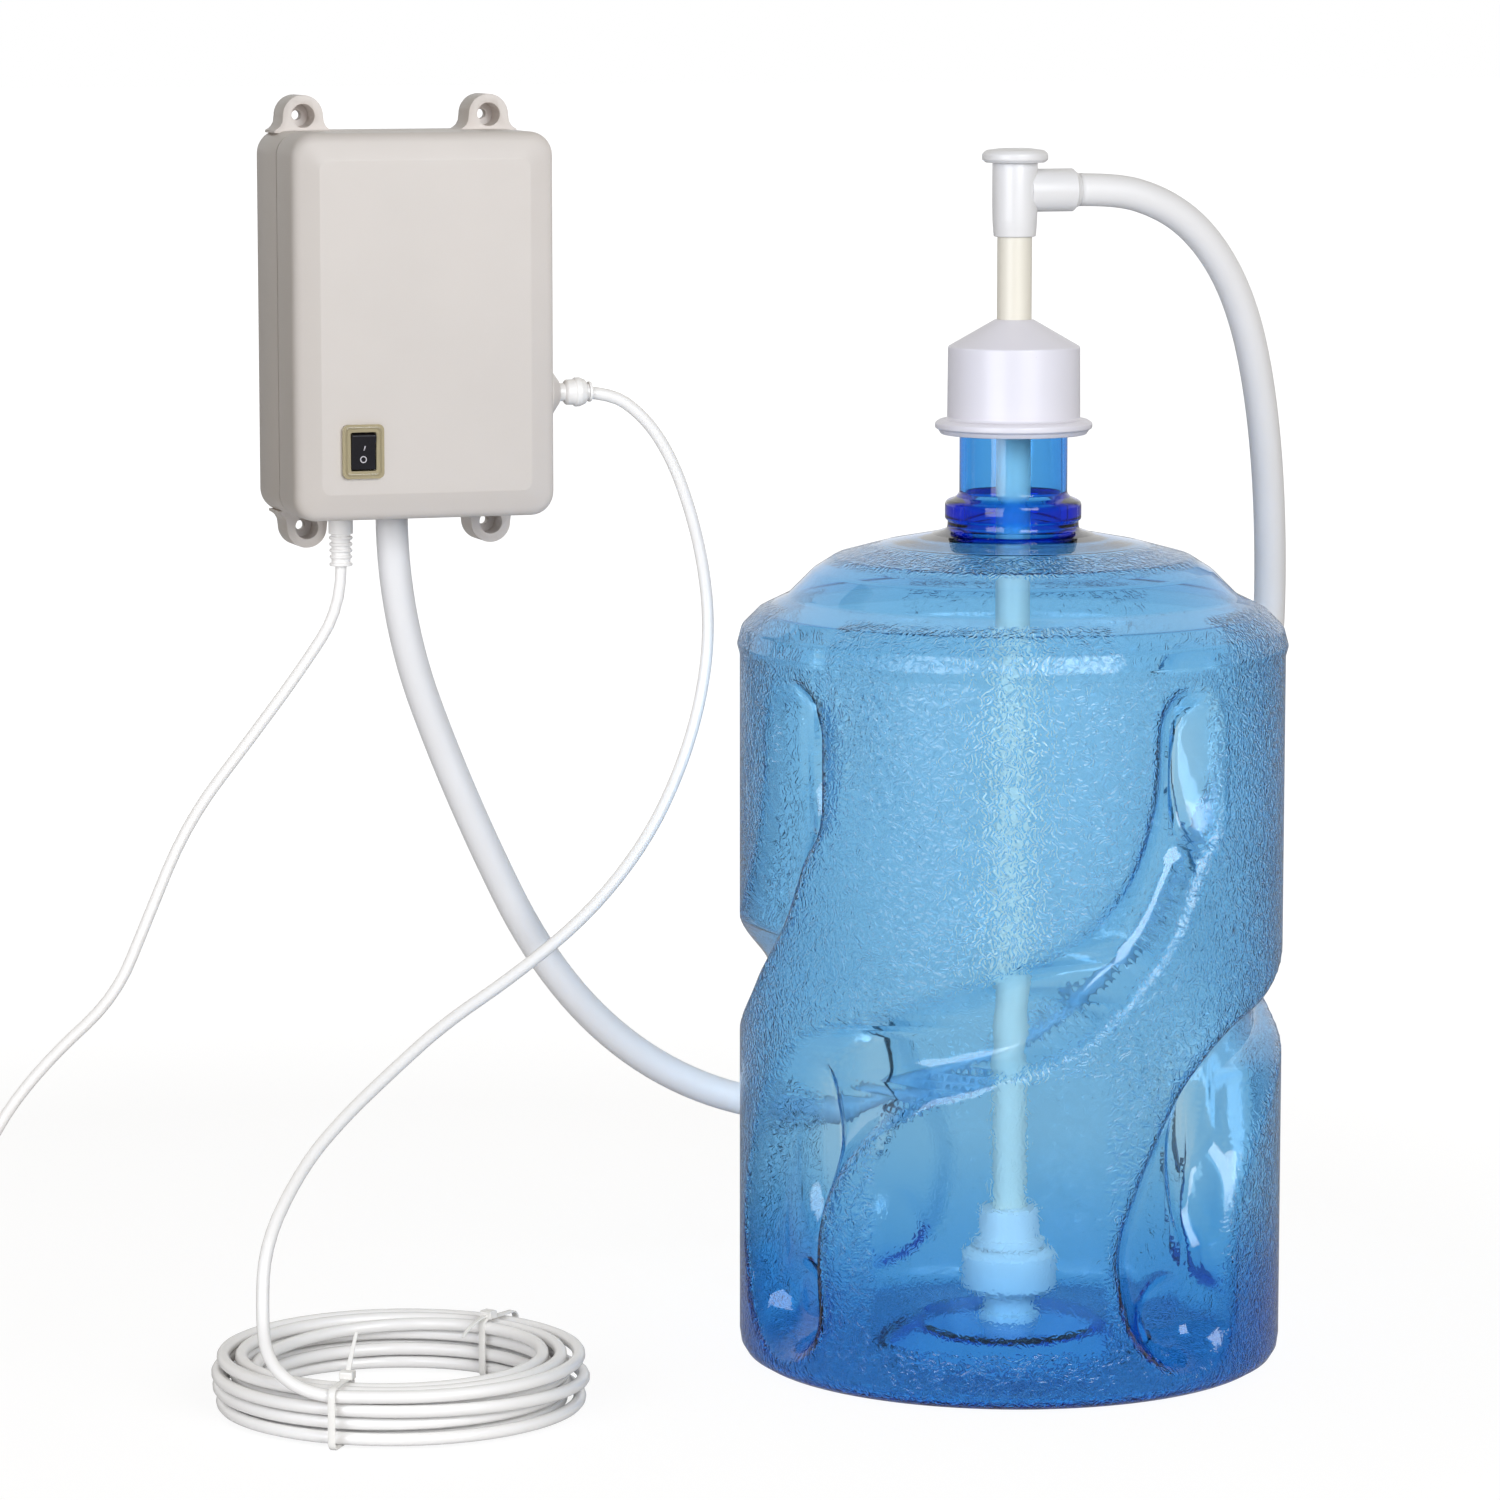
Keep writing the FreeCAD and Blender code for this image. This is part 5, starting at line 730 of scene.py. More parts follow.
def numbers_from(first):
    """Vertex numbers of one loop."""
    return list(range(first, first + around))


around = len(rectangle_loop(10, 10, 2, 0))
front_points, front_faces = loft(cover_loops(outside[:-1] + [(15.2, FACE)]))
back_start = len(front_points)
back_points, back_faces = loft(cover_loops([(15.2, FACE_BACK)] + inside[1:]), back_start)
window_start = back_start + len(back_points)
window_points, window_faces = loft([rectangle_loop(8.3, 11.3, 1, COVER_FOOT - depth, SWITCH)
                                    for depth in (FACE, FACE_BACK)], window_start)
vertices = front_points + back_points + window_points
foot = [numbers_from(0), numbers_from(window_start - around)]
faces = (
    front_faces + back_faces
    + fill_between(vertices, [numbers_from(back_start - around), numbers_from(window_start)])
    + fill_between(vertices, [numbers_from(back_start), numbers_from(window_start + around)])
    + window_faces
    + [(foot[0][i - 1], foot[0][i], foot[1][i], foot[1][i - 1]) for i in range(around)])
front_cover = mesh_object("front_cover_skin", vertices, faces)
keep_creases(front_cover, 40)
dress(front_cover, case_abs, "root", "case_plastic", "front_cover")
print("front cover faces:", len(front_cover.data.polygons))

# %% Boss round the outlet
OUTLET = (68.5, -56, -36)
boss = turned("outlet_boss", [
    (4.7, -2), (14.6, -2), (14.2, 0.2, 1.2), (11.5, 2.2, 4), (7.4, 5.2, 2.5), (6.4, 6.0, 0.4),
    (4.7, 6.0),
], 5, OUTLET, case_abs, "root", "case_plastic", "front_cover", crease=32, columns=72, axis="x")
print("boss stands", 6, "mm proud")

# %% [markdown]
# ## Back shell and seal
#
# The back shell is the tray on the wall, with its four ears, recesses and posts. Its solid already
# has every hole, so a merged copy gets soft edges: the bevel rounds only edges that are really
# sharp. The seal stays as it is, a fine line between the shells, a little further in.

# %% Back shell
back_shell = soften(copy_of("back_shell", "back_shell_moulding"), 0.9, 3, 40)
keep_creases(back_shell, 40)
dress(back_shell, case_abs, "root", "case_plastic", "back_shell")
print("back shell faces:", len(back_shell.data.polygons))

# %% [markdown]
# ## Rocker switch
#
# The switch is clipped into the window. Round the rocker stands a glossy ivory frame with a rolled
# edge, lofted as the cover is. The rocker is a copy of its solid with softly rounded edges, so that
# the light draws a line along them. The two marks are generic: a bar for on and a ring for off.

# %% Switch frame
frame_profile = rounded([(0.3, -0.4), (0, 0.9, 0.8), (1.2, 2.25, 1.0), (2.6, 2.25, 0.8),
                         (3.75, 0.6, 0.5), (3.95, -9)], 5)
loops = [rectangle_loop(10.8 - inset, 13.75 - inset, max(3.2 - inset * 0.5, 1),
                        COVER_FOOT - FACE - height, SWITCH) for inset, height in frame_profile]
switch_rim = mesh_object("switch_frame_rim", *loft(loops + [loops[0]]))
dress(switch_rim, frame_pc, "root", "switch_clear")
print("frame faces:", len(switch_rim.data.polygons))

# %% Rocker and its marks
rocker = soften(copy_of("switch_rocker", "rocker_cap"), 0.45, 3, 25)
keep_creases(rocker, 25)
dress(rocker, rocker_abs, "rocker", "switch_black", "switch_rocker")
PIVOT = Vector((-34, -75, -62))
LIFT = 2.64
ROCKER_TILT = 14


def on_face(across, up, tilt):
    """A point on one half of the rocker's face, from its pivot."""
    tilt = math.radians(tilt)
    return (PIVOT + Vector((across, -LIFT * math.cos(tilt) - up * math.sin(tilt),
                            -LIFT * math.sin(tilt) + up * math.cos(tilt)))) * MM


bar = [(-0.05, 1.2), (0.5, 1.2), (1.05, 3.6), (0.5, 3.6)]
vertices = [on_face(across, up, ROCKER_TILT) for across, up in bar]
RING_SIDES = 32
for radius in (1.75, 1.25):
    vertices += [on_face(across, up - 4, 0) for across, up in circle(radius, RING_SIDES)]
faces = [(0, 1, 2, 3)] + ring_faces(2, RING_SIDES, len(bar))
marks = mesh_object("rocker_marks", vertices, faces)
ink = marks.modifiers.new("ink", "SOLIDIFY")
ink.thickness = 0.05 * MM
ink.offset = 0
dress(bake(marks), mark_ink, "rocker", "fitting_white")
print("marks on the rocker: bar and ring")

# %% [markdown]
# ## The bottle
#
# A five-gallon bottle is blown from blue polycarbonate: a thin wall, so every hollow outside is a
# bulge inside. Four long S-shaped grips are pressed into its side, each deepest where fingers reach
# round it. Most of the wall has a pebbled skin, and the grips are smooth.
#
# A lathe gives the round body, and a grip is a rule: how deep the wall is pressed in at each angle
# and height. Both edges of a grip are drawn as lists of (angle, height), read where the photograph
# shows them, and the wall slopes softly inwards from either edge.

# %% Edges of a grip
BOTTLE = Vector((277, -180, -525))
FACING = -111.0
GRIP_RIGHT = [(-41, 5), (-43, 70.6), (-39.9, 100), (-29.8, 130.7), (-17.5, 153), (-5, 162),
              (7.7, 172), (18.1, 186.5), (27.3, 206), (37.4, 232), (44.5, 265), (49.3, 285),
              (49, 370)]
GRIP_LEFT = [(-67.3, 5), (-74, 50), (-75.7, 78.1), (-71.4, 108.8), (-64, 143), (-57, 165),
             (-45, 185), (-30, 196), (-15, 208.1), (-2.1, 220.9), (7, 228.8), (17.9, 246.3),
             (25.9, 272.9), (30.1, 309.7), (30, 370)]
GRIP_OFFSETS = (0, -92, 97, 182.5)
GRIP_DEPTH = 15
GRIP_REACH = 21  # how far in from an edge the full depth is reached
# Heights where the ends of a grip begin to round off, and over how many millimetres.
GRIP_TOP, GRIP_TOP_ROUNDING = 330, 30
GRIP_FOOT, GRIP_FOOT_ROUNDING = 44, 34
SIDE_RADIUS = 138
# Deeper pockets: middle angle, middle height, half width in degrees, half height, extra depth.
POCKETS = [(44.8, 311, 5.0, 44, 9), (-50, 120, 7.5, 50, 8), (-57, 38, 10, 27, 5)]
THINNING_DEPTH = 6  # a pocket deeper than this also stretches the wall thin


def wrapped(angle):
    """The same angle between -180 and 180 degrees."""
    return (angle + 180) % 360 - 180


def edge_at(edge, height):
    """Angle of an edge at a height, on a smooth line through its points."""
    index = 0
    while index < len(edge) - 2 and edge[index + 1][1] < height:
        index += 1
    (a0, h0), (a1, h1) = edge[index], edge[index + 1]
    before = edge[max(index - 1, 0)]
    after = edge[min(index + 2, len(edge) - 1)]
    start = (a1 - before[0]) / (h1 - before[1]) * (h1 - h0)
    end = (after[0] - a0) / (after[1] - h0) * (h1 - h0)
    t = min(max((height - h0) / (h1 - h0), 0), 1)
    return (a0 * (1 + 2 * t) * (1 - t) ** 2 + start * t * (1 - t) ** 2
            + a1 * t * t * (3 - 2 * t) + end * t * t * (t - 1))


def grip_row(height):
    """Left and right edge in degrees, each with its millimetres per degree, square to the edge."""
    per_degree = math.radians(SIDE_RADIUS)
    row = []
    for edge in (GRIP_LEFT, GRIP_RIGHT):
        lean = (edge_at(edge, height + 1) - edge_at(edge, height - 1)) / 2 * per_degree
        row.append((edge_at(edge, height), per_degree / math.sqrt(1 + lean * lean)))
    return row


def dip(distance, reach):
    """Share of the full depth so far in from an edge: a soft lip, a steep side, a level middle."""
    share = min(max(distance / reach, 0), 1)
    share = 1.3 * share * share / (share + 0.3)
    return share * (2 - share)


def grip_depth(angle, height, row):
    """How far the wall is pressed in, and how much a point is in a grip and in a pocket, 0 to 1."""
    depth = share = pocket = 0
    (left, left_scale), (right, right_scale) = row
    beyond = min(max((height - GRIP_TOP) / GRIP_TOP_ROUNDING,
                     (GRIP_FOOT - height) / GRIP_FOOT_ROUNDING, 0), 1)
    taken = (right - left) * (1 - math.sqrt(1 - beyond * beyond)) / 2
    ends = (dip(GRIP_TOP + GRIP_TOP_ROUNDING - height, 22)
            * dip(height - GRIP_FOOT + GRIP_FOOT_ROUNDING, 24))
    for offset in GRIP_OFFSETS:
        turn = wrapped(angle - offset)
        inside = (dip((turn - left - taken) * left_scale, GRIP_REACH)
                  * dip((right - taken - turn) * right_scale, GRIP_REACH) * ends)
        extra = here = 0
        for middle, level, half_angle, half_height, deep in POCKETS:
            gone = ((turn - middle) / half_angle) ** 2 + ((height - level) / half_height) ** 2
            extra += deep * ease((1 - gone) / 0.7)
            if deep > THINNING_DEPTH:
                here = max(here, ease((1 - gone) / 0.9))
        depth += (GRIP_DEPTH + extra) * inside
        share = max(share, inside)
        pocket = max(pocket, here * inside)
    return depth, share, pocket


print("a grip is", GRIP_DEPTH, "mm deep; at 200 mm up it spans",
      round(edge_at(GRIP_LEFT, 200)), "to", round(edge_at(GRIP_RIGHT, 200)), "degrees")

# %% [markdown]
# ## Body of the bottle
#
# The outline runs from the pushed-up middle of the base round the heel, up the side, over the
# shoulder band and the dome to the stepped collar and the neck. The wall gets its thickness along
# its own normals, more in the base and the collar, where the blown plastic stays thick. That is why
# these places look a deeper blue: the colour is in the plastic, and light crosses more of it.

# %% Outline and wall
BOTTLE_OUTLINE = rounded([
    (0, 12), (46, 12, 5), (60, 1.2, 4), (66, 0, 3), (138, 0, 28), (138, 28), (138, 361, 2),
    (139.4, 366, 3), (137, 375, 5), (128.5, 383.5, 5), (114, 390.5, 8), (101, 403.5, 10),
    (90, 410.5, 6), (66, 417, 8), (41, 421.6, 3), (33.2, 424.2, 2.4), (33.0, 428.2, 1.2),
    (34.4, 429.4, 1.6), (34.4, 438.2, 3.0), (29.0, 440.4, 1), (27.2, 442.4, 2), (27.2, 499, 0.8),
    (25.2, 500), (24.3, 499.4),
], 4)
COLUMNS = 204
NECK_BORE = 24.3
WALL = 1.7  # thickness of the side
HEEL_EXTRA, HEEL_TOP, HEEL_FADE = 1.9, 95, 70  # more in the heel, fading upwards
POCKET_THINNING = 0.55
NECK_EXTRA, NECK_FADE_RADIUS, NECK_FADE = 5.2, 50, 16  # more in the dome's middle, fading outwards
COLLAR_FOOT = 426
SHOULDER = (363, 386)  # lower and upper end of the shoulder band
STRIP_MIDDLE, STRIP_HALF = 37, 13  # smooth strips of the shoulder, in degrees
DOME_RING = (67, 92)  # radii between which the dome is pebbled
BASE_RADIUS = 64  # the base is smooth up to here
PANEL_ANGLES, PANEL_HEIGHTS = (-30, 21), (30, 165)  # a nearly smooth panel of the front
PANEL_PEBBLE = 0.08


def gap_at(radius, height):
    """Longest step of the outline, in millimetres: fine where grips and curves are."""
    if radius < 100 and height < 13:
        return 12
    if height < 28:
        return 3.4
    return 3.6 if height < 364 else 6 if height < 442 else 20


def spaced(line):
    """The outline with extra points, so that no step is longer than the gap at its place."""
    points = [line[0]]
    for before, after in zip(line, line[1:]):
        length = math.dist(before, after)
        if length < 0.05:
            continue
        count = max(1, math.ceil(length / gap_at(*after)))
        points += [tuple(b + (a - b) * (step / count) for b, a in zip(before, after))
                   for step in range(1, count + 1)]
    return points


def wall_at(height, pocket):
    """Thickness of the wall: thick base and heel, even side, stretched thin in a pocket."""
    return ((WALL + HEEL_EXTRA * ease((HEEL_TOP - height) / HEEL_FADE))
            * (1 - POCKET_THINNING * pocket))


def pebbled(angle, radius, height, share):
    """How strong the pebbled skin is at a point, 0 to 1. Share says how far it is in a grip."""
    if height >= SHOULDER[1]:
        return 1 if DOME_RING[0] < radius < DOME_RING[1] else 0
    if height > SHOULDER[0]:
        return min(ease((abs(wrapped(angle - offset) - STRIP_MIDDLE) - STRIP_HALF) / 2)
                   for offset in GRIP_OFFSETS)
    if radius < BASE_RADIUS:
        return 0
    in_panel = (PANEL_ANGLES[0] < wrapped(angle) < PANEL_ANGLES[1]
                and PANEL_HEIGHTS[0] < height < PANEL_HEIGHTS[1])
    return (1 - ease(share * 3)) * (PANEL_PEBBLE if in_panel else 1)


outline = spaced(BOTTLE_OUTLINE)
outer = []
pebble = []
wall = []
for radius, height in outline:
    row = grip_row(height)
    for column in range(COLUMNS):
        angle = 360 * column / COLUMNS
        turn = math.radians(FACING + angle)
        depth, share, pocket = 0, 0, 0
        if 8 < height < 366 and radius > 100:
            depth, share, pocket = grip_depth(angle, height, row)
        wall.append(wall_at(height, pocket))
        pebble.append(pebbled(angle, radius, height, share))
        outer.append(BOTTLE + Vector(((radius - depth) * math.cos(turn),
                                      (radius - depth) * math.sin(turn), height)))
print("rows", len(outline), "columns", COLUMNS)

# %% [markdown]
# The inner wall follows the outer one along its normals. In the middle of the dome, the collar and
# the neck it is measured from the axis instead, down to the bore.

# %% Inner wall and mesh
inner = []
for index, (radius, height) in enumerate(outline):
    start = index * COLUMNS
    row_above = min(index + 1, len(outline) - 1) * COLUMNS
    row_below = max(index - 1, 0) * COLUMNS
    for column in range(COLUMNS):
        here = outer[start + column]
        if height > 400 and radius < 60:
            out = Vector((here.x - BOTTLE.x, here.y - BOTTLE.y, 0)).normalized()
            thick = WALL + NECK_EXTRA * ease((NECK_FADE_RADIUS - radius) / NECK_FADE)
            inside = radius - thick if height < COLLAR_FOOT else NECK_BORE
            lowered = WALL * ease((COLLAR_FOOT - height) / 4)
            inner.append(BOTTLE + out * min(max(inside, NECK_BORE), radius)
                         + Vector((0, 0, height - lowered)))
            continue
        beside = (outer[start + (column + 1) % COLUMNS]
                  - outer[start + (column - 1) % COLUMNS])
        normal = beside.cross(outer[row_above + column] - outer[row_below + column])
        if radius < 1 or normal.length < 1e-9:
            normal = Vector((0, 0, -1))
        inner.append(here - normal.normalized() * wall[start + column])

# Every outer face has an inner one, and a last ring of faces closes the mouth between them.
total = len(outer)
faces = [face for corners in ring_faces(len(outline), COLUMNS)
         for face in (corners, tuple(total + corner for corner in reversed(corners)))]
last = total - COLUMNS
faces += [(last + column, last + (column + 1) % COLUMNS,
           total + last + (column + 1) % COLUMNS, total + last + column)
          for column in range(COLUMNS)]
bottle = mesh_object("bottle_blown", [point * MM for point in outer + inner], faces, 0.01,
                     pebble=pebble + [value * 0.5 for value in pebble])
print("bottle triangles:", sum(len(face.vertices) - 2 for face in bottle.data.polygons))

# %% [markdown]
# ## Blue polycarbonate
#
# The blue dye goes all through the plastic, so the colour is given to the inside of the wall and
# not to its surface. The pebbled skin is drawn with the level lines of a soft noise: rows of small
# worms, as the tool leaves them. The mesh says where the skin is pebbled.

# %% Material of the bottle
REFRACTION = 1.45
DYE = (0.01, 0.642, 0.945, 1)
DYE_DENSITY = 425
NOISE_SIZE, LEVELS = 5.8, 34  # millimetres, and how closely level lines follow each other
PEBBLE_DEPTH = 0.105
SMOOTH, ROUGH = 0.02, 0.12

bottle_pc, tree = new_material("blue_polycarbonate_blown")
place = add_node(tree, "ShaderNodeTexCoord", output="Object")
where = add_node(tree, "ShaderNodeAttribute", {"attribute_name": "pebble"}, "Fac")
soft = add_node(tree, "ShaderNodeTexNoise", {
    "Scale": 1000 / NOISE_SIZE, "Detail": 1, "Distortion": 0.4, "Vector": place})
worms = maths(tree, "SINE", maths(tree, "MULTIPLY", soft, LEVELS))
bump = add_node(tree, "ShaderNodeBump", {
    "Strength": 1, "Distance": PEBBLE_DEPTH * MM, "Height": maths(tree, "MULTIPLY", worms, where)})
surface = add_node(tree, "ShaderNodeBsdfPrincipled", {
    "Base Color": linear("#EDEDED"), "Transmission Weight": 1, "IOR": REFRACTION,
    "Roughness": map_range(tree, where, SMOOTH, ROUGH), "Normal": bump})
dye = add_node(tree, "ShaderNodeVolumeAbsorption", {"Color": DYE, "Density": DYE_DENSITY})
add_node(tree, "ShaderNodeOutputMaterial", {"Surface": surface, "Volume": dye})
dress(bottle, bottle_pc, "root", "bottle_blue", "water_bottle")
print("dye density", DYE_DENSITY, "per metre")

# %% [markdown]
# ## Cap
#
# The cap is a thin cone of milky polypropylene that drops over the mouth of the bottle, with a
# rolled rim to pull it off by. Everything about it is round, so it is turned from one outline.

# %% Bottle cap
def at_height(height):
    """A point on the axis of the bottle, so far above the floor."""
    return (BOTTLE.x, BOTTLE.y, BOTTLE.z + height)


turned("bottle_cap_turned", [
    (31.1, 0), (36.6, 0, 1.2), (38.0, 2.2, 0.9), (39.6, 3.2, 1.0), (39.6, 5.8, 1.5),
    (37.4, 7.2, 1.2), (34.3, 7.6, 0.5), (33.5, 8.6, 0.4), (33.2, 44.0, 1.4), (10.0, 57.4, 1.2),
    (8.86, 57.6), (8.86, 43.3), (25.2, 43.3), (25.2, 30), (31.1, 30),
], 6, at_height(472), cap_pp, "cap", "cap_white", "bottle_cap", crease=50, columns=128)
print("cap radius", 39.6, "mm at its rim")

# %% [markdown]
# ## Head of the wand
#
# The head is a short stout tee: a body that narrows a little towards its lower edge, a side arm
# for the hose with a chamfered end, and a flat mushroom top to lift it by.

# %% Tee head
turned("tee_body_turned", [
    (8.76, 0), (10.6, 0, 1.3), (11.2, 8, 5), (11.4, 16, 8), (11.4, 36.9, 0.4), (6.5, 36.9),
    (6.5, 12), (8.76, 12),
], 5, at_height(571), wand_abs, "wand", "wand_white", "tee_head")
turned("tee_arm_turned", [
    (5, 6), (10.8, 6), (10.8, 30.4, 0.5), (9.9, 31.4, 0.5), (9.2, 31.5, 0.3), (8.6, 33.5, 0.6),
    (5, 33.5),
], 4, at_height(594), wand_abs, "wand", "wand_white", "tee_head", axis="x")
turned("tee_top_turned", [
    (0, -8), (6, -8), (6, 0), (14.8, 0, 0.8), (16.6, 1.5, 1.3), (16.6, 4.4, 1.6),
    (14.6, 6.2, 2.6), (8, 7.1, 5), (0, 7.3),
], 6, at_height(608), wand_abs, "wand", "wand_white", "tee_plug", closed=False)
print("head from", 571, "to", 615.3, "mm above the floor")

# %% [markdown]
# ## Foot of the wand
#
# At the lower end sit a sleeve that holds the tube, a float chamber with rounded shoulders and a
# strainer with a faceted neck just above the bottle's floor. They are seen through the bottle,
# so soft clear shapes matter more than fine detail.

# %% Sleeve, chamber and strainer
turned("foot_sleeve_turned", [
    (7, 0), (17.4, 0, 0.5), (18, 0.8, 0.5), (18, 5.0, 0.6), (15.6, 5.4, 0.4), (15.2, 22.2, 0.7),
    (8.76, 22.2), (8.76, 9.2), (7, 9.2),
], 4, at_height(53.5), wand_abs, "wand", "wand_white", "foot_sleeve", crease=40)
turned("float_chamber_turned", [
    (10, 0), (21.5, 0, 1.2), (24.4, 2.6, 1.8), (24.4, 19.8, 2.4), (21.0, 23.6, 2.4), (10, 23.6),
    (10, 22), (21.3, 22, 0.8), (22.8, 20.1, 0.6), (22.8, 1.6), (10, 1.6),
], 5, at_height(29.9), wand_abs, "wand", "wand_white", "float_chamber", crease=40)
turned("strainer_neck_turned", [
    (3.2, 7), (7, 9.2), (7, 15.7), (12.6, 15.7, 0.4), (13.1, 15.2, 0.3), (13.1, 5),
], 3, at_height(14.2), wand_abs, "wand", "wand_white", "foot_strainer", crease=40, columns=10)
turned("strainer_flange_turned", [
    (3.2, 2.5), (8, 2.5), (8, 0), (14.6, 0, 0.6), (15.6, 1.2, 0.8), (15.6, 4.4, 0.6),
    (14.8, 5, 0.4), (3.2, 5.1),
], 4, at_height(14.2), wand_abs, "wand", "wand_white", "foot_strainer", crease=40)
print("foot reaches", 14.2, "mm above the floor")

# %% [markdown]
# ## Cable ties
#
# A cable tie is one strip of nylon: a band pulled round the strands, a small block where the tail
# passes through, and the tail, which gets narrower and springs away from the bundle. The band
# follows a loop with round corners, so it hugs the outer strands.

# %% Band, head and tail of a tie
BAND_FOOT, BAND_THICK, BAND_HALF, BAND_CORNER = -523.8, 1.1, 1.8, 3.4
TAIL_LENGTH, TAIL_STEPS = 23, 14
SQUARE = ((-1, -1), (1, -1), (1, 1), (-1, 1))


def tie(name, coil, angle, near, far, top, head, lean):
    """A tie at an angle of a coil, with a loop from near to far of its middle and up to top.

    The head is so many millimetres long, and the tail leans from one slope to the other.
    """
    turn = math.radians(angle)
    out = Vector((math.cos(turn), math.sin(turn), 0))
    side = Vector((-math.sin(turn), math.cos(turn), 0))
    middle = Vector((coil[0], coil[1], 0))

    def place(away, across, high):
        return (middle + out * away + side * across + Vector((0, 0, high))) * MM

    half, thick = BAND_HALF, BAND_THICK
    profile = ((0.15, -half), (thick - 0.2, -half), (thick, -half + 0.3), (thick, half - 0.3),
               (thick - 0.2, half), (0.15, half), (0, half - 0.3), (0, -half + 0.3))
    loops = [rectangle_loop((far - near) / 2 + grow, (top - BAND_FOOT) / 2 + grow,
                            BAND_CORNER + grow, across,
                            ((near + far) / 2, (BAND_FOOT + top) / 2), 6)
             for grow, across in profile]
    band = mesh_object(name + "_band", [place(*point) for loop in loops for point in loop],
                       ring_faces(len(loops), len(loops[0]), closed=True))
    keep_creases(band, 50)

    start = near + 2 + head / 2
    block = [place(start + sx * head / 2 * narrow, sy * (head / 2 + 0.4), top + 0.4 + high)
             for narrow, high in ((1, 0), (1, head - 2.6), (0.8, head - 1.8)) for sx, sy in SQUARE]
    head_piece = soften(mesh_object(name + "_head", block,
                                    ring_faces(3, 4) + [(3, 2, 1, 0), (8, 9, 10, 11)]), 0.7, 3)

    places = [Vector((start, 0, top + 2))]
    for step in range(TAIL_STEPS):
        rise = math.radians(lean[0] + (lean[1] - lean[0]) * step / TAIL_STEPS)
        places.append(places[-1] + Vector((-math.cos(rise), 0, math.sin(rise)))
                      * TAIL_LENGTH / TAIL_STEPS)
    vertices = []
    for index, spot in enumerate(places):
        ahead = places[min(index + 1, TAIL_STEPS)] - places[max(index - 1, 0)]
        gone = index / TAIL_STEPS
        thin = Vector((-ahead.z, 0, ahead.x)).normalized() * (0.5 - 0.15 * gone)
        vertices += [place(spot.x + thin.x * sy, sx * (1.35 - 0.55 * gone), spot.z + thin.z * sy)
                     for sx, sy in SQUARE]
    ends = [(3, 2, 1, 0), tuple(4 * TAIL_STEPS + corner for corner in range(4))]
    tail = soften(mesh_object(name + "_tail", vertices, ring_faces(len(places), 4) + ends), 0.2, 2)
    for piece in (band, head_piece, tail):
        dress(piece, tie_nylon, "root", "post_white", name)


tie("tube_tie_front", (-52, -195), -124, 68.1, 96.0, -495.0, 6, (58, 46))
tie("tube_tie_back", (-52, -195), 36, 68.8, 95.5, -495.0, 6, (0, -42))
tie("cord_tie", (-350, -110), 0, 23.0, 44.9, -510.2, 5, (54, 44))
print("ties:", 3)

# %% [markdown]
# ## One shape, set again and again
#
# The lead leaves the case through a soft collar with ribs under it, which let it bend without a
# kink. A rib is one ring, and the same ring is set again and again down the lead. The four screws
# of the cover are one screw, set four times. That is work for Geometry Nodes: they set an instance
# on each point of a mesh, a little smaller from point to point if asked, and the result is turned
# into a plain mesh.

# %% Repeat one shape with Geometry Nodes
def repeated(name, shape, spots, last_scale=1.0):
    """One shape set on each of the spots, in millimetres, as one plain mesh."""
    group = bpy.data.node_groups.new(name + "_nodes", "GeometryNodeTree")
    for in_out in ("OUTPUT", "INPUT"):
        group.interface.new_socket("Geometry", in_out=in_out, socket_type="NodeSocketGeometry")
    index = add_node(group, "GeometryNodeInputIndex")
    placed = add_node(group, "GeometryNodeInstanceOnPoints", {
        "Points": add_node(group, "NodeGroupInput"),
        "Instance": add_node(group, "GeometryNodeObjectInfo", {"Object": shape}, "Geometry"),
        "Scale": map_range(group, index, 1, last_scale, 0, len(spots) - 1)})
    real = add_node(group, "GeometryNodeRealizeInstances", {"Geometry": placed})
    add_node(group, "NodeGroupOutput", {0: real})
    data = bpy.data.meshes.new(name)
    data.from_pydata([tuple(Vector(spot) * MM) for spot in spots], [], [])
    holder = add_object(name, data)
    holder.modifiers.new("repeat", "NODES").node_group = group
    made = bake(holder)
    bpy.data.objects.remove(shape)
    return made


# %% Strain relief
RELIEF = (-33, -27, -97.5)
FIRST_RIB, RIB_PITCH = -12.6, 3.25
turned("relief_collar", [
    (3, 5.5), (7.8, 5.5), (7.8, 2.5), (5.1, 2.5), (5.1, 0), (6.3, 0), (6.3, -10.4, 0.5),
    (4.9, -10.8, 0.3), (4.85, -25.4), (5.9, -25.6, 0.4), (5.9, -27, 0.5), (3.0, -27),
], 4, RELIEF, lead_pvc, "root", "lead_white", "strain_relief", columns=64)
rib = lathe("rib", rounded([(4.6, -0.95), (5.7, -0.9, 0.5), (6.25, 0, 0.7), (5.7, 0.9, 0.5),
                            (4.6, 0.95)], 4), (0, 0, 0), 64)
rib_spots = [(*RELIEF[:2], RELIEF[2] + FIRST_RIB - RIB_PITCH * step) for step in range(4)]
dress(repeated("relief_ribs", rib, rib_spots, 0.955), lead_pvc, "root", "lead_white",
      "strain_relief")
print("ribs:", len(rib_spots))

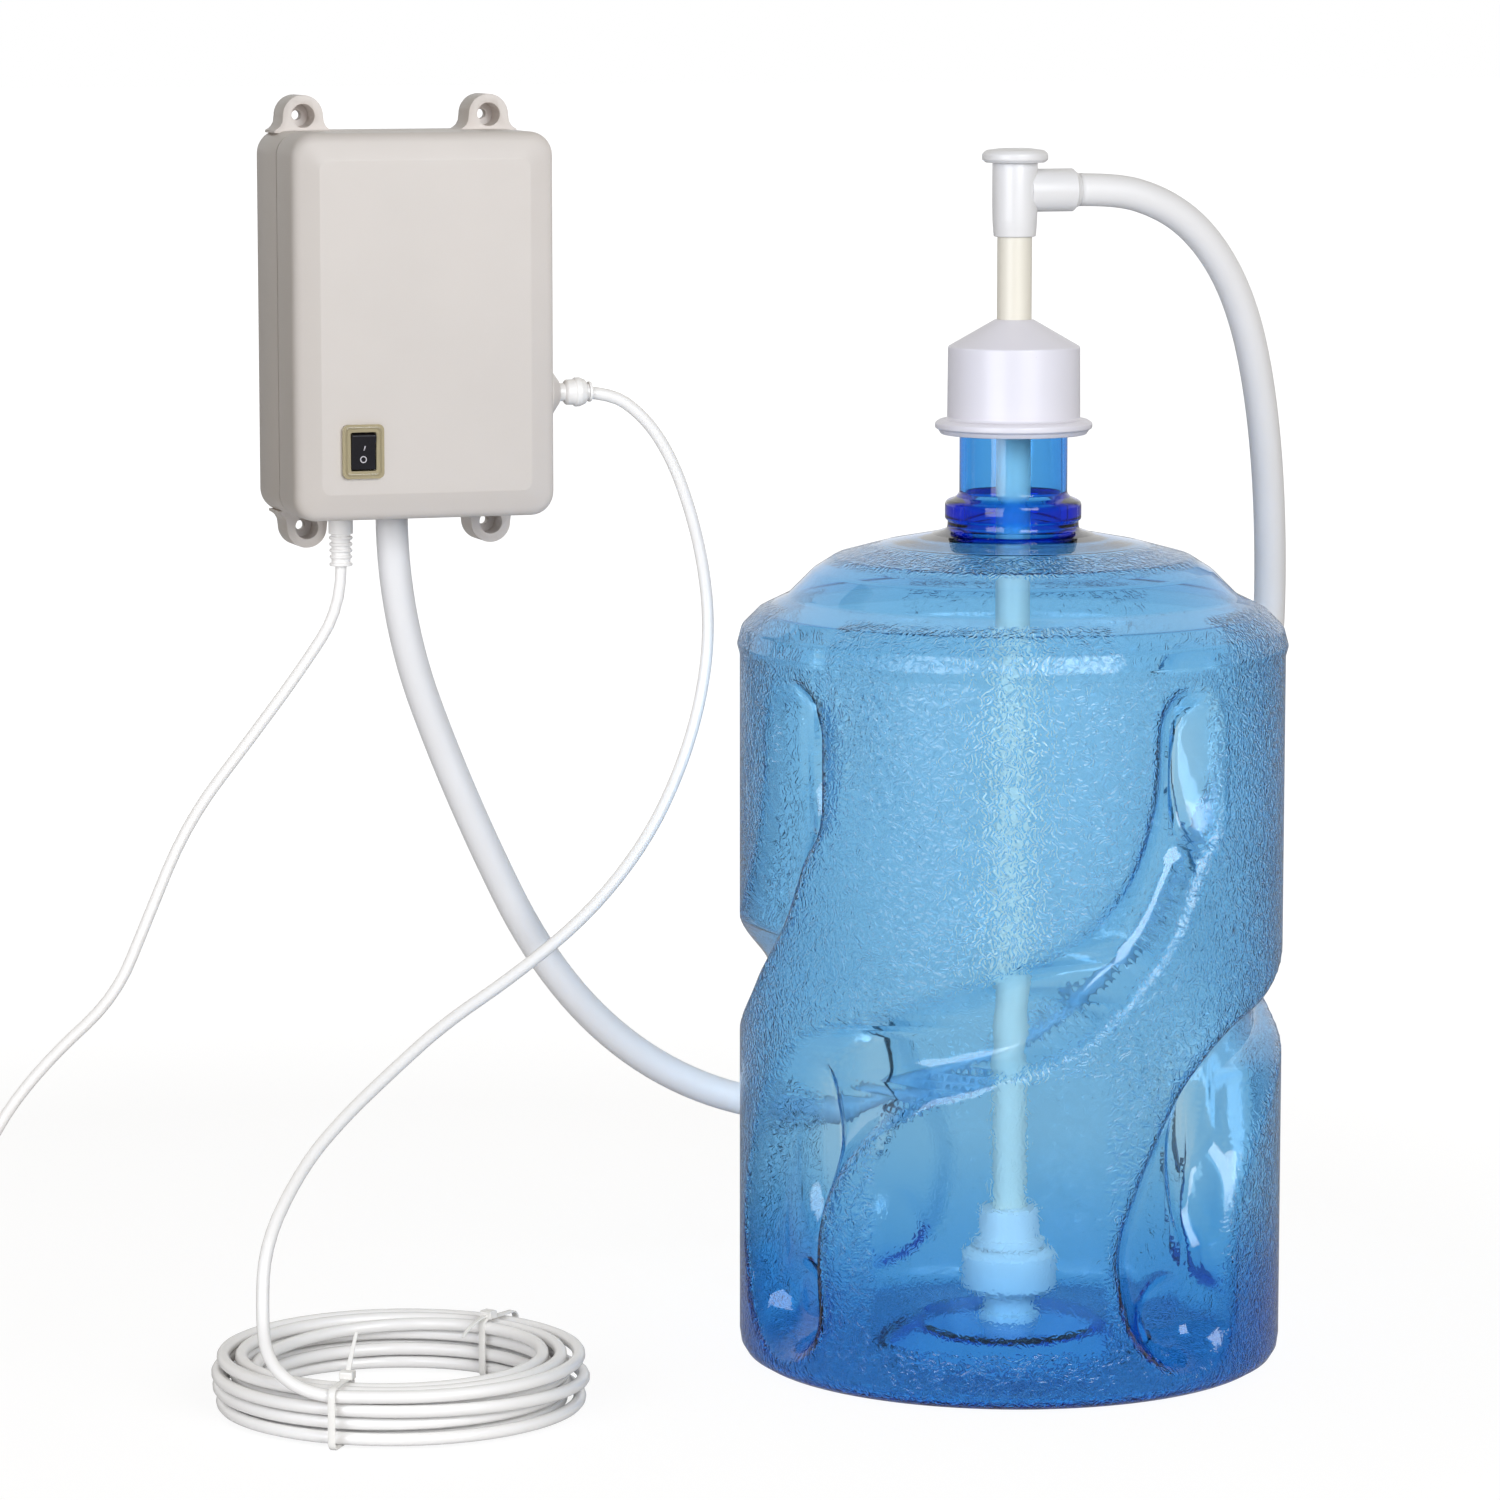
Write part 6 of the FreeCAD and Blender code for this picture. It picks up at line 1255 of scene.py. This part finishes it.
# %% Cover screws
screw = lathe("screw", rounded([
    (0, -0.9), (1.5, -0.7, 0.3), (2.1, 0, 0.1), (2.7, -0.1, 0.5), (3.15, -1.0, 0.6),
    (3.15, -2.2, 0.2), (1.45, -2.2, 0.2), (1.45, -46, 0.3), (0.2, -48), (0, -48),
], 3), (0, 0, 0), 32, closed=False)
work = bmesh.new()
for turn in (0, math.pi / 2):
    for vert in bmesh.ops.create_cube(work, size=1)["verts"]:
        arm = Vector((vert.co.x * 3.6, vert.co.y * 0.7, vert.co.z * 3)) * MM
        vert.co = Matrix.Rotation(turn, 3, "Z") @ arm
cross = add_object("cross", bpy.data.meshes.new("cross"))
work.to_mesh(cross.data)
work.free()
cut = screw.modifiers.new("recess", "BOOLEAN")
cut.object = cross
cut.operation = "DIFFERENCE"
cut.use_self = True
bake(screw)
bpy.data.objects.remove(cross)
screw.data.transform(Matrix.Rotation(-math.pi / 2, 4, "X"))
keep_creases(screw, 35)
screw_spots = [(x, -1.3, z) for x in (-55.5, 55.5) for z in (-84.5, 84.5)]
dress(repeated("cover_screw_set", screw, screw_spots), zinc_steel, "root", "steel_zinc",
      "cover_screws")
print("screws:", len(screw_spots))

# %% [markdown]
# ## Push-in fitting
#
# The tube is pushed into a white acetal fitting on the pad of the case. Its body has a short neck,
# a raised band and a tapered nose, and the release collet is the small ring that the tube comes out
# of. All of it is round about the tube's own axis.

# %% Fitting and collet
FITTING_LENGTH = 20.8
turned("outlet_fitting_turned", [
    (2, -17), (3, -17, 0.3), (3, -7), (4.6, -7), (4.6, 9.3), (5.3, 9.5, 0.4), (6.5, 10.5, 0.9),
    (6.6, 14.2), (6.7, 14.5, 0.2), (7.5, 15.2, 0.6), (7.5, 17.4, 1.2), (6.9, 18.8, 0.8),
    (6.3, 20.4, 0.8), (5.6, FITTING_LENGTH, 0.3), (4.5, FITTING_LENGTH), (4.5, 11.1), (2, 11.1),
], 4, OUTLET, fitting_acetal, "root", "fitting_white", "outlet_fitting", columns=72, axis="x")
turned("release_collet", [
    (3.4, -8), (4.15, -8), (4.15, 1.6), (5.2, 1.6, 0.3), (5.2, 3.0, 0.5), (3.4, 3.0, 0.3),
], 4, (OUTLET[0] + FITTING_LENGTH, *OUTLET[1:]), fitting_acetal, "collet", "fitting_white",
    "outlet_collet", columns=64, axis="x")
print("fitting reaches", OUTLET[0] + FITTING_LENGTH, "mm to the right")

# %% [markdown]
# ## Spring of the pressure switch
#
# Under the collar of the plunger sits a small helical spring. Its last turn at either end lies
# flat.

# %% Helical spring
SPRING = Vector((26, -40, -62.5))
SPRING_LENGTH = 10
SPRING_RADIUS = 3.5
SPRING_TURNS = 7
SPRING_STEPS = 240
WIRE = 0.5
places = []
for step in range(SPRING_STEPS + 1):
    gone = step / SPRING_STEPS
    rise = WIRE + (SPRING_LENGTH - 2 * WIRE) * ease((gone * SPRING_TURNS - 0.6) / 5.8)
    turn = 2 * math.pi * gone * SPRING_TURNS
    places.append((SPRING + Vector((SPRING_RADIUS * math.cos(turn),
                                    SPRING_RADIUS * math.sin(turn), rise))) * MM)
spring = sweep("plunger_spring_wire", places, circle(WIRE * MM, 12))
dress(spring, zinc_steel, "root", "steel_zinc", "plunger_spring")
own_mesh(spring)
print("spring turns:", SPRING_TURNS)

# %% [markdown]
# ## Everything inside
#
# The motor, the pump, the board and the small parts keep the shapes of the engineering model. They
# show when the case is opened, so each gets the material of the real thing.

# %% Materials of the inner parts
INNER_FINISHES = {
    seal_silicone: ["cover_gasket", "cap_seal"],
    frame_pc: ["switch_frame"],
    rolled_brass: ["switch_terminals"],
    drawn_steel: ["motor_can"],
    pump_nylon: ["motor_end_cap", "wobble_plate", "pump_housing", "pump_head", "pressure_switch"],
    ferrite: ["motor_magnets"],
    sintered_bronze: ["motor_bushes"],
    enamelled_copper: ["motor_rotor"],
    zinc_steel: ["wobble_hub", "wobble_bearing", "pump_screws", "pump_bracket"],
    pump_nitrile: ["diaphragm", "pump_feet", "capacitors"],
    fitting_acetal: ["valve_plate", "pressure_plunger", "reed_stem", "board_posts",
                     "outlet_locknut", "suction_gland"],
    hose_silicone: ["inlet_hose", "outlet_hose"],
    board_epoxy: ["power_board"],
    core_steel: ["transformer"],
    wand_pvc: ["wand_tube"],
    float_pp: ["float_ring"],
    ball_steel: ["check_ball"],
}
for material, names in INNER_FINISHES.items():
    for name in names:
        for place in nodes[name].material_slots:
            place.material = material
print("inner parts dressed:", sum(len(names) for names in INNER_FINISHES.values()))

# %% [markdown]
# ## What a lamp reaches
#
# In the photograph the left side of the case lies in shade, while the bottle, the wand and the coil
# get light from both sides. A photographer would hold a card between the left lamp and the case,
# and light linking does the same. A clear bottle also lets lamp light through to the wand and the
# hose behind it. The renderer can't find that path through bent plastic, so the bottle doesn't
# shade what the lamps reach.

# %% Cards and the clear bottle
carded = bpy.data.collections.new("case_behind_the_card")
for piece in (front_cover, boss, back_shell, switch_rim, rocker, marks, nodes["cover_gasket"]):
    carded.objects.link(piece)
clear = bpy.data.collections.new("clear_to_the_lamps")
clear.objects.link(bottle)
fill_lamp.light_linking.receiver_collection = carded
for lamp in (key_lamp, fill_lamp):
    lamp.light_linking.blocker_collection = clear
for entry in list(carded.collection_objects) + list(clear.collection_objects):
    entry.light_linking.link_state = "EXCLUDE"
